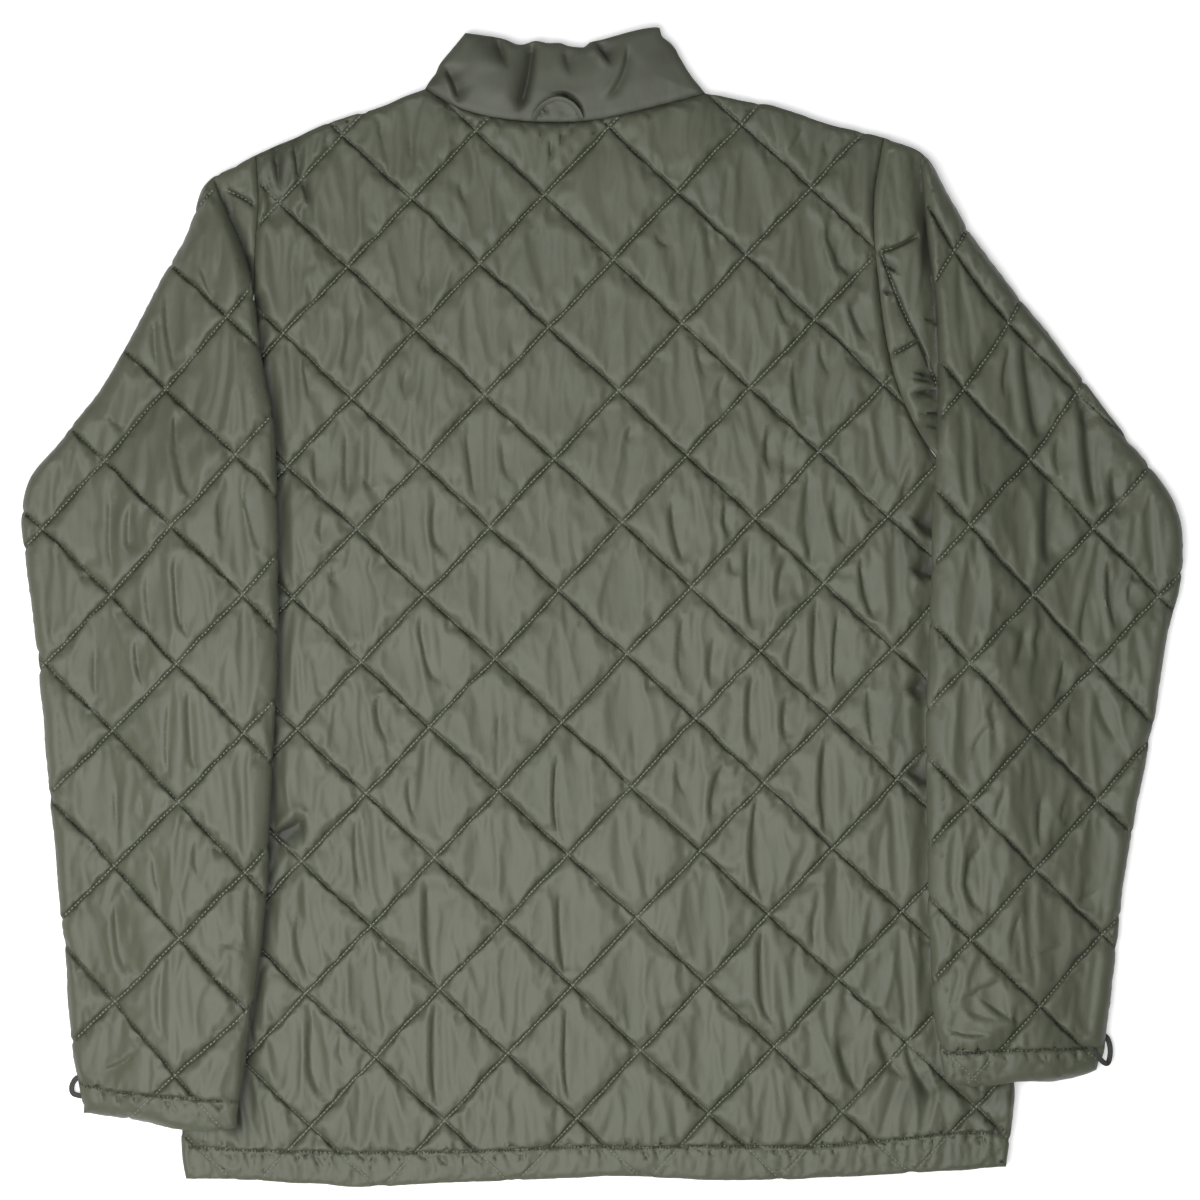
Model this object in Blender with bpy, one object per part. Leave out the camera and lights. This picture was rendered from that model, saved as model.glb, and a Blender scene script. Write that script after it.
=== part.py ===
"""Diamond-quilted jacket, laid flat and face down with its sleeves at its sides.

Frame: +X to the right as seen from above, +Y towards the collar, +Z up. The fronts lie on
z = 0 and the origin is the middle of the laid-out jacket. Tables are in millimetres.
Every panel is a wall between two height functions over its plan outline: its outer face is
raised in the quilting, its inner face is plain.
"""

import math
from collections import namedtuple

import bpy
import numpy as np
from mathutils import Vector
from mathutils.geometry import delaunay_2d_cdt

MM = 0.001  # metres in a millimetre

# ---- cloth ----
SEAM_GAP = 0.4  # between pieces that are sewn together
FRONT_NECK_GAP = 0.9  # the same at the steep front neckline, measured along Y
STITCH_THICKNESS = 3.2  # quilted cloth where it is stitched down
PUFF_THICKNESS = 9.4  # quilted cloth in the middle of a diamond
PLAIN_THICKNESS = 5.0  # wadded cloth pressed flat, as on the fronts that carry the rest
SLOT = 0.6  # the empty space inside a flattened sleeve or collar
RIM = 8.0  # how far in from an edge the cloth rounds over
EDGE_THICKNESS = 2.4  # what is left of a layer's height at its outline
ROUNDNESS = 0.5  # of a puff: lower is fuller

# ---- turned-up hems ----
HEM_DEPTH = 25.0  # from the edge to the line of topstitching
HEM_GROOVE = 2.2  # how deep that line is pulled in
HEM_GROOVE_HALF = 4.0
HEM_PUFF = 0.45  # how much of the quilting's relief is left under it
HEM_FULLNESS = 0.3  # what the folded-up layer adds, as a share of a puff
THINNEST = 2.4  # quilted cloth at the bottom of a crease or groove

# ---- mesh ----
OUTLINE_STEP = 13.0
HIDDEN_STEP = 20.0  # along lines that are out of sight
CELL_STEPS = 4  # mesh steps along a diamond's side
RIM_RINGS = (0.12, 0.5, 1.0)  # rings round the outline, in shares of the rounded rim
POINTS_IN = 1.25  # how far in the quilting's points start, in shares of RIM
UNDER_RIM = 0.6  # the rounding of a sleeve's underside, in shares of RIM
CREASE_STEP = 11.0
CREASE_ASIDE = 1.2  # mesh points beside a crease, in shares of its width
RUN_OUT = 60.0  # the longest way from a stitch line's last mesh point to the outline

# ---- derived levels ----
BACK_INNER = PLAIN_THICKNESS + SEAM_GAP
BACK_TOP = BACK_INNER + PUFF_THICKNESS
SLEEVE_REST = BACK_TOP + SEAM_GAP  # underside of a sleeve where it lies on the back
RISE = 36.0  # over which a sleeve's cloth climbs from the surface onto the back
RAMP_SHARES = (0.0, 0.25, 0.5, 0.75, 1.0)  # mesh lines across that climb
PLEAT_HEIGHT = 5.0  # hidden cloth folded under a sleeve's edge beside the cap
PLEAT_REACH = 70.0
PLEAT_EDGE = (0.0, 1.2, 4.0)  # mesh lines across the pleat's edge
CAP_SHARE = 0.8  # the cap's strip is pulled flatter than the sleeve
SLEEVE_WALL = 6.4  # cloth left round a sleeve's hollow, in plan

Point = namedtuple("Point", "x y")
Fold = namedtuple("Fold", "x0 y0 x1 y1 depth width")
Bend = namedtuple("Bend", "y shift")
Lattice = namedtuple("Lattice", "x y across_x across_y down_x down_y fan_x fan_y bends")
Sleeve = namedtuple("Sleeve", "side outer cuff inner pleat lattice folds")


def line(*rows):
    return [Point(*row) for row in rows]


def folds(*rows):
    return [Fold(*row) for row in rows]


# ---- body: seams and edges as laid flat, each from its first end to its last ----
NECK_BACK = line((-120, 351), (-95, 337), (-65, 330), (-37, 328), (-11, 329), (25, 336), (70, 348))
NECK_FRONT = line((-120, 351), (-85, 308), (-20, 283), (38, 304), (70, 348))
SHOULDER_LEFT = line((-235, 306), (-188, 327), (-152, 338), (-120, 351))
SHOULDER_RIGHT = line((70, 348), (121, 338), (156, 327), (191, 318))
ARMHOLE_LEFT = line(
    (-235, 306), (-233, 276), (-236, 232), (-236, 202), (-237, 168), (-243, 140), (-257, 110), (-279, 79),
)
ARMHOLE_RIGHT = line((191, 318), (184, 274), (188, 212), (195, 168), (204, 140), (220, 110), (245, 79))
SIDE_LEFT = line((-279, 79), (-280, -145), (-285, -366), (-282, -388))
SIDE_RIGHT = line((245, 79), (263, -145), (280, -322), (277, -356), (274, -380))
HEM = line((-282, -388), (-246, -389), (-163, -393), (-109, -391), (0, -387), (112, -389), (274, -380))
FRONT_TOP, FRONT_BOTTOM = Point(-20, 283), Point(0, -387)  # ends of the centre front
COLLAR_FRONT_TOP = Point(-22, 332)

# ---- collar ----
COLLAR_LEFT = line((-120, 351), (-109, 368), (-92, 389))
COLLAR_TOP = line((-92, 389), (-65, 385), (-44, 383), (-26, 381), (-10, 380), (14, 389), (39, 393))
COLLAR_RIGHT = line((39, 393), (56, 368), (70, 348))
COLLAR_THICKNESS = 7.5
COLLAR_CROWN = 0.28  # share of the thickness that is missing at its edges
COLLAR_CROWN_REACH = 22.0
FOLD_OUT, FOLD_IN = 0.6, 4.5  # how far the collar's folded ends reach past and inside the fold
FOLD_LOW = 1.6  # their lowest level

# ---- quilting of the back: one crossing, and the steps between crossings ----
BACK_LATTICE = Lattice(
    x=-39, y=283, across_x=90.1, across_y=-1.94, down_x=3.13, down_y=89.42, fan_x=0, fan_y=0,
    bends=(Bend(400, 0), Bend(-400, 0)),
)

# ---- deepest creases, pressed in as the jacket was laid down ----
BACK_FOLDS = folds(
    (-210, 321, -203, 289, 3.5, 8),
    (-199, 283, -205, 263, 2.5, 7),
    (-222, 312, -218, 293, 2.5, 7),
    (136, 328, 124, 304, 3.0, 7),
    (151, 261, 171, 221, 3.5, 8),
    (167, 210, 184, 178, 3.0, 8),
    (-173, 120, -171, 72, 2.5, 7),
    (-112, 75, -105, 33, 3.0, 8),
    (-124, -6, -105, -53, 3.0, 8),
    (-152, -58, -143, -94, 2.5, 7),
    (47, 74, 58, 27, 2.5, 7),
    (113, 122, 115, 91, 2.5, 7),
    (99, 42, 103, -18, 3.0, 7),
    (124, 35, 121, -1, 2.5, 7),
    (156, 74, 167, 40, 2.5, 7),
    (175, 35, 189, -13, 3.0, 8),
    (146, 5, 148, -62, 3.0, 7),
    (75, -18, 75, -57, 2.5, 7),
    (103, -42, 103, -97, 3.0, 7),
    (126, -57, 126, -94, 2.5, 7),
    (-118, -185, -114, -255, 3.0, 8),
    (-112, -266, -112, -338, 3.0, 8),
    (-31, -102, -29, -157, 3.0, 7),
    (-29, -192, -24, -253, 3.0, 8),
    (-24, -272, -22, -335, 2.5, 7),
    (-195, -274, -186, -335, 2.5, 8),
    (83, -106, 75, -149, 2.5, 7),
    (153, -91, 153, -157, 3.0, 8),
    (106, -126, 110, -202, 2.5, 7),
    (110, -217, 113, -284, 2.5, 8),
)
LEFT_SLEEVE_FOLDS = folds(
    (-296, 223, -288, 157, 3.0, 8),
    (-288, 135, -278, 72, 3.0, 8),
    (-318, 72, -318, 32, 2.5, 7),
    (-287, 38, -277, -23, 3.0, 8),
    (-279, -55, -270, -113, 3.0, 8),
    (-329, -198, -319, -251, 3.0, 8),
    (-296, -240, -296, -292, 3.0, 8),
    (-313, -298, -343, -315, 3.0, 7),
)
RIGHT_SLEEVE_FOLDS = folds(
    (286, 184, 296, 111, 3.0, 8),
    (328, 138, 336, 64, 3.0, 8),
    (303, 90, 303, 26, 3.0, 8),
    (343, 32, 350, -18, 2.5, 8),
    (284, -12, 277, -43, 2.5, 7),
    (312, -35, 305, -65, 2.5, 7),
    (299, -125, 297, -164, 2.5, 7),
    (261, -157, 260, -210, 3.0, 8),
)
COLLAR_FOLDS = folds(
    (-46, 379, -57, 338, 3.5, 5),
    (-111, 366, -102, 344, 2.0, 4),
    (-8, 380, 4, 366, 2.0, 4),
    (17, 373, 6, 352, 1.5, 4),
    (-68, 383, -64, 368, 1.5, 4),
)

# ---- sleeves: the edges of the laid-out tube, top to cuff, and where its pleat lies on the cap ----
LEFT_SLEEVE = Sleeve(
    side=-1,
    outer=line(
        (-235, 306), (-253, 297), (-269, 287), (-280, 256), (-303, 215), (-336, 154), (-367, 113),
        (-390, 84), (-394, 62), (-390, 21), (-382, -50), (-377, -111), (-371, -172), (-365, -234),
        (-360, -295), (-352, -344),
    ),
    cuff=line((-352, -344), (-313, -349), (-280, -354), (-247, -353)),
    inner=line(
        (-247, -353), (-245, -335), (-235, -266), (-226, -188), (-223, -104), (-219, -16), (-220, 89),
        (-223, 130), (-230, 168), (-235, 208),
    ),
    pleat=line((-264, 291), (-256, 272), (-244, 244), (-239, 229), (-235, 208)),
    lattice=Lattice(
        x=-333, y=6, across_x=89.8, across_y=0.7, down_x=0, down_y=93.0, fan_x=0, fan_y=2.0,
        bends=(
            Bend(290, -15), Bend(196, -10), Bend(100, -4.5), Bend(6, 0), Bend(-86, 1.4), Bend(-178, 2.4),
            Bend(-270, 1.4), Bend(-340, -3),
        ),
    ),
    folds=LEFT_SLEEVE_FOLDS,
)
RIGHT_SLEEVE = Sleeve(
    side=1,
    outer=line(
        (191, 318), (218, 307), (231, 287), (248, 256), (279, 215), (311, 174), (341, 134), (373, 93),
        (388, 72), (393.2, 52), (393.2, 21), (384, -19), (379, -50), (368, -111), (356, -172), (349, -234),
        (343, -285), (341, -302), (336, -315),
    ),
    cuff=line((336, -315), (322, -320), (275, -322), (245, -325), (232, -321)),
    inner=line(
        (232, -321), (228, -301), (224, -274), (221, -225), (220, -162), (219, -82), (222, -8), (223, 59),
        (226, 104),
    ),
    pleat=line((215, 309), (217, 289), (221, 245), (226, 208), (228, 168), (227, 127), (226, 104)),
    lattice=Lattice(
        x=292, y=8, across_x=87.0, across_y=-0.7, down_x=0, down_y=94.2, fan_x=1.2, fan_y=-1.4,
        bends=(
            Bend(290, -24), Bend(240, -24), Bend(196, -17), Bend(150, -9), Bend(103, -2.5), Bend(50, -1),
            Bend(8, -0.5), Bend(-86, -0.5), Bend(-180, 1.5), Bend(-271, 4),
        ),
    ),
    folds=RIGHT_SLEEVE_FOLDS,
)

# ---- small parts ----
LOOP_WIDTH, LOOP_THICKNESS = 3.6, 1.3
NECK_LOOP_PATH = line((-52, 333), (-44, 342), (-31, 347), (-19, 341), (-13, 333))
CUFF_LOOP_LEFT_PATH = line((-357.9, -318), (-361.6, -322), (-361.4, -329), (-355.9, -333))
CUFF_LOOP_RIGHT_PATH = line((344.3, -291), (348.4, -302), (347.2, -311), (342.5, -309))
CUFF_LOOP_Z = 3.2
LOOP_GAP = 0.6  # under the neck loop
ZIP_WIDTH, ZIP_HEIGHT, ZIP_CLEAR = 6.0, 3.4, 0.6
ZIP_UNDER = 1.4  # room for the pull under the chain
SLIDER_LENGTH, PULL_LENGTH, PULL_WIDTH, PULL_THICKNESS = 9.0, 24.0, 4.0, 0.8
PULL_Z = 0.2  # the slider's and pull's level, just above the surface

QUILTED_COLOUR = (0.125, 0.138, 0.107, 1.0)
TAPE_COLOUR = (0.05, 0.056, 0.045, 1.0)
METAL_COLOUR = (0.16, 0.16, 0.15, 1.0)


# ---- curves in the plan ----
def resampled(points, step):
    """The same line with points evenly `step` apart, or as near as fits."""
    points = np.asarray(points, float)
    lengths = np.hypot(*np.diff(points, axis=0).T)
    along = np.concatenate([[0], np.cumsum(lengths)])
    count = max(1, round(along[-1] / step))
    places = np.linspace(0, along[-1], count + 1)
    return np.column_stack([np.interp(places, along, points[:, i]) for i in (0, 1)])


def curve(points, step=OUTLINE_STEP):
    """A smooth curve through the points (centripetal Catmull-Rom), evenly divided."""
    points = np.asarray(points, float)
    if len(points) < 3:
        return resampled(points, step)
    ends = np.vstack([2 * points[0] - points[1], points, 2 * points[-1] - points[-2]])
    fine = []
    for p0, p1, p2, p3 in zip(ends, ends[1:], ends[2:], ends[3:]):
        t1 = math.sqrt(np.hypot(*(p1 - p0)))
        t2 = t1 + math.sqrt(np.hypot(*(p2 - p1)))
        t3 = t2 + math.sqrt(np.hypot(*(p3 - p2)))
        for t in np.linspace(t1, t2, 12, endpoint=False):
            a1 = (t1 - t) / t1 * p0 + t / t1 * p1
            a2 = (t2 - t) / (t2 - t1) * p1 + (t - t1) / (t2 - t1) * p2
            a3 = (t3 - t) / (t3 - t2) * p2 + (t - t2) / (t3 - t2) * p3
            b1 = (t2 - t) / t2 * a1 + t / t2 * a2
            b2 = (t3 - t) / (t3 - t1) * a2 + (t - t1) / (t3 - t1) * a3
            fine.append((t2 - t) / (t2 - t1) * b1 + (t - t1) / (t2 - t1) * b2)
    fine.append(points[-1])
    return resampled(fine, step)


def loop_of(*curves):
    """Curves joined end to end into one closed outline, anticlockwise."""
    loop = np.vstack([part[:-1] for part in curves])
    x, y = loop.T
    area = np.sum(x * np.roll(y, -1) - y * np.roll(x, -1))
    return loop if area > 0 else loop[::-1]


def inset(loop, distance):
    """The outline moved in by `distance`."""
    ahead = np.roll(loop, -1, axis=0) - loop
    ahead /= np.hypot(*ahead.T)[:, None]
    normals = np.column_stack([-ahead[:, 1], ahead[:, 0]])
    mean = normals + np.roll(normals, 1, axis=0)
    share = np.maximum(np.sum(mean**2, axis=1) / 2, 0.5)
    return loop + distance * mean / share[:, None]


def to_line(points, line, closed=False):
    """Distance of each point from a line of straight steps."""
    points = np.asarray(points, float)
    starts = np.asarray(line, float)
    ends = np.roll(starts, -1, axis=0) if closed else starts[1:]
    starts = starts if closed else starts[:-1]
    nearest = np.full(len(points), np.inf)
    for start, end in zip(starts, ends):
        step = end - start
        share = np.clip((points - start) @ step / max(step @ step, 1e-12), 0, 1)
        nearest = np.minimum(nearest, np.hypot(*(points - start - share[:, None] * step).T))
    return nearest


def within(points, loop):
    """Whether each point is inside the closed outline."""
    x, y = np.asarray(points, float).T
    inside = np.zeros(len(x), bool)
    for (x0, y0), (x1, y1) in zip(loop, np.roll(loop, -1, axis=0)):
        crosses = (y0 > y) != (y1 > y)
        with np.errstate(divide="ignore", invalid="ignore"):
            inside ^= crosses & (x < (x1 - x0) * (y - y0) / (y1 - y0) + x0)
    return inside


def along_y(line, y):
    """x of a line at each y, for a line that runs mostly along Y."""
    line = np.asarray(line, float)
    order = np.argsort(line[:, 1])
    return np.interp(y, line[order, 1], line[order, 0])


def along_x(line, x):
    """y of a line at each x, for a line that runs mostly along X."""
    line = np.asarray(line, float)
    order = np.argsort(line[:, 0])
    return np.interp(x, line[order, 0], line[order, 1])


def eased(share):
    """0 to 1 with level ends."""
    share = np.clip(share, 0, 1)
    return share * share * (3 - 2 * share)


# ---- quilting ----
def crossing(lattice, a, b):
    """Plan position of the point where stitch lines a and b cross."""
    across, down = (a + b) / 2, (a - b) / 2
    y = lattice.y + across * lattice.across_y - down * (lattice.down_y + lattice.fan_y * across)
    bends = lattice.bends[::-1]
    shift = np.interp(y, [bend.y for bend in bends], [bend.shift for bend in bends])
    x = lattice.x + across * lattice.across_x + down * lattice.down_x + shift * (1 + lattice.fan_x * across)
    return np.column_stack([np.atleast_1d(x), np.atleast_1d(y)])


def line_numbers(lattice, points):
    """Stitch-line numbers (a, b) at each plan position: the inverse of crossing, by iteration."""
    a, b = np.zeros(len(points)), np.zeros(len(points))
    for _ in range(12):
        miss = points - crossing(lattice, a, b)
        across = miss[:, 0] / lattice.across_x
        down = -miss[:, 1] / lattice.down_y
        a, b = a + across + down, b + across - down
    return a, b


def puff(lattice, points):
    """0 on the stitch lines, 1 in the middle of each diamond."""
    a, b = line_numbers(lattice, points)
    return np.abs(np.sin(math.pi * a) * np.sin(math.pi * b)) ** ROUNDNESS


def quilt_mesh(lattice, loop, keep_off):
    """Stitch lines as chains of points, and the points inside the diamonds, clear of the rim's rings."""
    a, b = line_numbers(lattice, loop)
    a_low, a_high = math.floor(a.min()), math.ceil(a.max())
    b_low, b_high = math.floor(b.min()), math.ceil(b.max())

    def clear(points):
        inside = within(points, loop)
        inside[inside] = to_line(points[inside], loop, closed=True) > keep_off
        return inside

    a_fine = np.arange(a_low * CELL_STEPS, a_high * CELL_STEPS + 1) / CELL_STEPS
    b_fine = np.arange(b_low * CELL_STEPS, b_high * CELL_STEPS + 1) / CELL_STEPS
    chains = []
    for number in range(a_low, a_high + 1):
        chains.append(crossing(lattice, np.full(len(b_fine), number), b_fine))
    for number in range(b_low, b_high + 1):
        chains.append(crossing(lattice, a_fine, np.full(len(a_fine), number)))
    chains = [run for chain in chains for run in reaching(chain, clear(chain), loop)]
    grid_a, grid_b = (grid.ravel() for grid in np.meshgrid(a_fine, b_fine))
    free = (np.abs(grid_a - np.round(grid_a)) > 1e-6) & (np.abs(grid_b - np.round(grid_b)) > 1e-6)
    points = crossing(lattice, grid_a[free], grid_b[free])
    return chains, points[clear(points)]


def reaching(chain, inside, loop):
    """Runs of the chain's points inside the outline, each led on to just past the outline at both ends."""
    runs = []
    index = 0
    while index < len(chain):
        if not inside[index]:
            index += 1
            continue
        last = index
        while last + 1 < len(chain) and inside[last + 1]:
            last += 1
        run = list(chain[index : last + 1])
        for at, step, where in ((index, -1, 0), (last, 1, len(run))):
            if 0 <= at + step < len(chain):
                run_out = past_outline(chain[at], chain[at + step], loop)
                run.insert(0 if where == 0 else len(run), run_out)
        runs.append(np.array(run))
        index = last + 1
    return runs


def past_outline(start, towards, loop):
    """The point just outside the outline on the way from start."""
    heading = (towards - start) / np.hypot(*(towards - start))
    reach = start + heading * np.arange(0, RUN_OUT, 0.5)[:, None]
    outside = np.flatnonzero(~within(reach, loop))
    return reach[outside[0]] if len(outside) else np.asarray(towards)


def crease(points, folds):
    """How far the folds press the cloth down at each point."""
    depth = np.zeros(len(points))
    for fold in folds:
        start, end = np.array((fold.x0, fold.y0)), np.array((fold.x1, fold.y1))
        step = end - start
        share = (points - start) @ step / (step @ step)
        off = np.hypot(*(points - start - np.clip(share, 0, 1)[:, None] * step).T)
        fade = np.sqrt(np.sin(math.pi * np.clip(share * 0.9 + 0.05, 0, 1)))
        depth = np.maximum(depth, fold.depth * fade * np.exp(-((off / fold.width) ** 2)))
    return depth


def crease_points(folds, loop):
    """Mesh points down the middle of each fold and beside it."""
    rows = []
    for fold in folds:
        start, end = np.array((fold.x0, fold.y0), float), np.array((fold.x1, fold.y1), float)
        step = (end - start) / np.hypot(*(end - start))
        aside = np.array((-step[1], step[0])) * fold.width * CREASE_ASIDE
        middle = resampled([start, end], CREASE_STEP)
        rows += [middle, middle[1:-1] + aside, middle[1:-1] - aside]
    points = np.vstack(rows)
    points = points[within(points, loop)]
    return points[to_line(points, loop, closed=True) > RIM * 0.8]


# ---- solids ----
def triangulated(loop, lines, points):
    """Triangles inside the outline that keep every line as edges.

    Gives the plan points, the triangles, and for each point the numbers of the given points it stands for.
    """
    verts = [Vector(p) for p in loop]
    edges = []
    for line in lines:
        edges += [(len(verts) + i, len(verts) + i + 1) for i in range(len(line) - 1)]
        verts += [Vector(p) for p in line]
    verts += [Vector(p) for p in points]
    outline = [list(range(len(loop)))]
    plan, _, faces, origin, _, owners = delaunay_2d_cdt(verts, edges, outline, 0, 0.02, True)
    plan = np.array([tuple(v) for v in plan])
    triangles = np.array([face for face, owner in zip(faces, owners) if owner])
    a, b, c = (plan[triangles[:, i]] for i in range(3))
    turned = np.cross(b - a, c - a) < 0
    triangles[turned] = triangles[turned][:, ::-1]
    return plan, triangles, origin


def boundary(triangles):
    """The outline of a triangulation as one ring of point numbers."""
    steps = np.concatenate([triangles[:, [0, 1]], triangles[:, [1, 2]], triangles[:, [2, 0]]])
    known = {tuple(step) for step in steps.tolist()}
    following = {a: b for a, b in known if (b, a) not in known}
    ring = [next(iter(following))]
    while following[ring[-1]] != ring[0]:
        ring.append(following[ring[-1]])
    return ring


def ring_origin(count, ring):
    """For each point, its place in the ring, in the form that triangulated gives."""
    origin = [[] for _ in range(count)]
    for place, point in enumerate(ring):
        origin[point] = [place]
    return origin


def material(name, colour, roughness, metallic=0.0):
    made = bpy.data.materials.new(name)
    made.use_nodes = True
    shader = made.node_tree.nodes["Principled BSDF"]
    shader.inputs["Base Color"].default_value = colour
    shader.inputs["Roughness"].default_value = roughness
    shader.inputs["Metallic"].default_value = metallic
    made.diffuse_color = colour
    return made


def mesh_object(name, points, faces, finish=None):
    mesh = bpy.data.meshes.new(name)
    mesh.from_pydata([Vector(p) * MM for p in points], [], [list(face) for face in faces])
    mesh.update()
    if finish:
        mesh.materials.append(finish)
        mesh.shade_smooth()
        mesh.set_sharp_from_angle(angle=math.radians(50))
    made = bpy.data.objects.new(name, mesh)
    bpy.context.scene.collection.objects.link(made)
    return made


def slab(name, loop, top, bottom, finish=None, top_lines=(), top_points=(), bottom_lines=()):
    """A closed solid over a plan outline, between two height functions.

    With bottom_lines None, the underside has the same triangles as the top.
    """
    plan, triangles, _ = triangulated(loop, top_lines, top_points)
    ring = boundary(triangles)
    if bottom_lines is None:
        under_plan, under, origin = plan, triangles, ring_origin(len(plan), ring)
    else:
        under_plan, under, origin = triangulated(plan[ring], bottom_lines, ())
    used = np.unique(triangles)
    heights = top(plan)
    points = [(*plan[i], heights[i]) for i in used]
    place = {int(old): new for new, old in enumerate(used)}
    faces = [[place[int(i)] for i in triangle] for triangle in triangles]
    under_heights = bottom(under_plan)
    under_place = {}
    for i in np.unique(under):
        under_place[int(i)] = len(points)
        points.append((*under_plan[i], under_heights[i]))
    faces += [[under_place[int(i)] for i in triangle[::-1]] for triangle in under]
    below = {source: i for i, sources in enumerate(origin) for source in sources if source < len(ring)}
    for here in range(len(ring)):
        ahead = (here + 1) % len(ring)
        low, low_ahead = under_place[below[here]], under_place[below[ahead]]
        high, high_ahead = place[ring[here]], place[ring[ahead]]
        faces.append([low, low_ahead, high_ahead, high])
    return mesh_object(name, points, faces, finish)


def combine(target, other, operation):
    """Cuts the other shape from the target, or joins it on."""
    other.hide_render = True
    other.display_type = "WIRE"
    modifier = target.modifiers.new(f"{operation} {other.name}", "BOOLEAN")
    modifier.operation = operation
    modifier.object = other
    modifier.solver = "EXACT"


def rounding(points, loop, rim=RIM):
    """0 on the outline, rising like a quarter circle to 1 at `rim` inside it."""
    inward = np.where(within(points, loop), to_line(points, loop, closed=True), 0)
    return np.sqrt(np.clip(1 - (1 - np.clip(inward / rim, 0, 1)) ** 2, 0, 1))


def rings(loop, rim=RIM):
    closed = []
    for share in RIM_RINGS:
        ring = inset(loop, share * rim)
        closed.append(np.vstack([ring, ring[:1]]))
    return closed


def spread(loop, step, keep_off):
    """Points of a plain square grid inside the outline."""
    low, high = loop.min(axis=0), loop.max(axis=0)
    x, y = np.meshgrid(np.arange(low[0], high[0], step), np.arange(low[1], high[1], step))
    points = np.column_stack([x.ravel(), y.ravel()])
    points = points[within(points, loop)]
    return points[to_line(points, loop, closed=True) > keep_off]


def clipped(line, loop, margin, step=OUTLINE_STEP):
    """The runs of a line that stay `margin` inside the outline."""
    fine = resampled(line, 2.0)
    inside = within(fine, loop)
    inside[inside] = to_line(fine[inside], loop, closed=True) > margin
    runs, run = [], []
    for point, good in zip(fine, inside):
        if good:
            run.append(point)
        elif run:
            runs.append(run)
            run = []
    runs += [run] if run else []
    return [resampled(run, step) for run in runs if len(run) > 3]


def quilted(points, lattice, folds, hem_distance):
    """Thickness of quilted cloth: puffs, creases, and the flatter turned-up hem with its groove."""
    puffs = puff(lattice, points)
    in_hem = eased((HEM_DEPTH - hem_distance) / HEM_GROOVE_HALF + 0.5)
    puffs = puffs * (1 - in_hem * (1 - HEM_PUFF)) + in_hem * HEM_FULLNESS
    thick = STITCH_THICKNESS + (PUFF_THICKNESS - STITCH_THICKNESS) * np.clip(puffs, 0, 1)
    thick = thick - crease(points, folds)
    groove = np.exp(-(((hem_distance - HEM_DEPTH) / HEM_GROOVE_HALF) ** 2))
    return np.maximum(thick - HEM_GROOVE * groove, THINNEST)


def hem_lines(edge, loop):
    """Mesh lines along a hem's topstitching and on both sides of it."""
    lines = []
    for offset in (HEM_DEPTH - HEM_GROOVE_HALF, HEM_DEPTH, HEM_DEPTH + HEM_GROOVE_HALF):
        lines += clipped(np.asarray(edge) + (0, offset), loop, RIM * 0.3)
    return lines


def build_back(finish):
    hem = curve(HEM)
    loop = loop_of(
        curve(SHOULDER_LEFT), curve(NECK_BACK), curve(SHOULDER_RIGHT), curve(ARMHOLE_RIGHT),
        curve(SIDE_RIGHT), hem[::-1], curve(SIDE_LEFT)[::-1], curve(ARMHOLE_LEFT)[::-1],
    )
    chains, points = quilt_mesh(BACK_LATTICE, loop, RIM * POINTS_IN)

    def top(plan):
        thick = quilted(plan, BACK_LATTICE, BACK_FOLDS, plan[:, 1] - along_x(hem, plan[:, 0]))
        return BACK_INNER + EDGE_THICKNESS + (thick - EDGE_THICKNESS) * rounding(plan, loop)

    def bottom(plan):
        return np.full(len(plan), BACK_INNER)

    lines = rings(loop) + chains + hem_lines(hem, loop)
    points = np.vstack([points, crease_points(BACK_FOLDS, loop)])
    return slab("back_panel", loop, top, bottom, finish, lines, points)


def centre_front(aside):
    """The fronts' edge beside the zip, `aside` from the centre line, top to bottom."""
    top, bottom = np.array(FRONT_TOP, float), np.array(FRONT_BOTTOM, float)
    return np.array([top + (aside, 0), bottom + (aside, 0)])


def build_front(name, side, finish):
    """One front. It lies flat on its outer face, so that face is plain."""
    edge = centre_front(side * (ZIP_WIDTH / 2 + ZIP_CLEAR))
    hem, neck = curve(HEM), curve(NECK_FRONT)
    half_hem = hem[(hem[:, 0] - edge[1, 0]) * side > OUTLINE_STEP / 2]
    half_neck = neck[(neck[:, 0] - edge[0, 0]) * side > OUTLINE_STEP / 2]
    corner_low = np.array((edge[1, 0], along_x(hem, edge[1, 0])))
    corner_high = np.array((edge[0, 0], along_x(neck, edge[0, 0])))
    if side < 0:
        outer = [curve(SHOULDER_LEFT)[::-1], curve(ARMHOLE_LEFT), curve(SIDE_LEFT)]
        half_hem, half_neck = np.vstack([half_hem, corner_low]), np.vstack([corner_high, half_neck[::-1]])
    else:
        outer = [curve(SHOULDER_RIGHT), curve(ARMHOLE_RIGHT), curve(SIDE_RIGHT)]
        half_hem = np.vstack([half_hem[::-1], corner_low])
        half_neck = np.vstack([corner_high, half_neck])
    middle = resampled([corner_low, corner_high], OUTLINE_STEP * 3)
    loop = loop_of(half_neck, *outer, half_hem, middle)

    def top(plan):
        return EDGE_THICKNESS + (PLAIN_THICKNESS - EDGE_THICKNESS) * rounding(plan, loop, RIM / 2)

    def bottom(plan):
        return np.zeros(len(plan))

    return slab(name, loop, top, bottom, finish, rings(loop, RIM / 2)[-1:])


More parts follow.
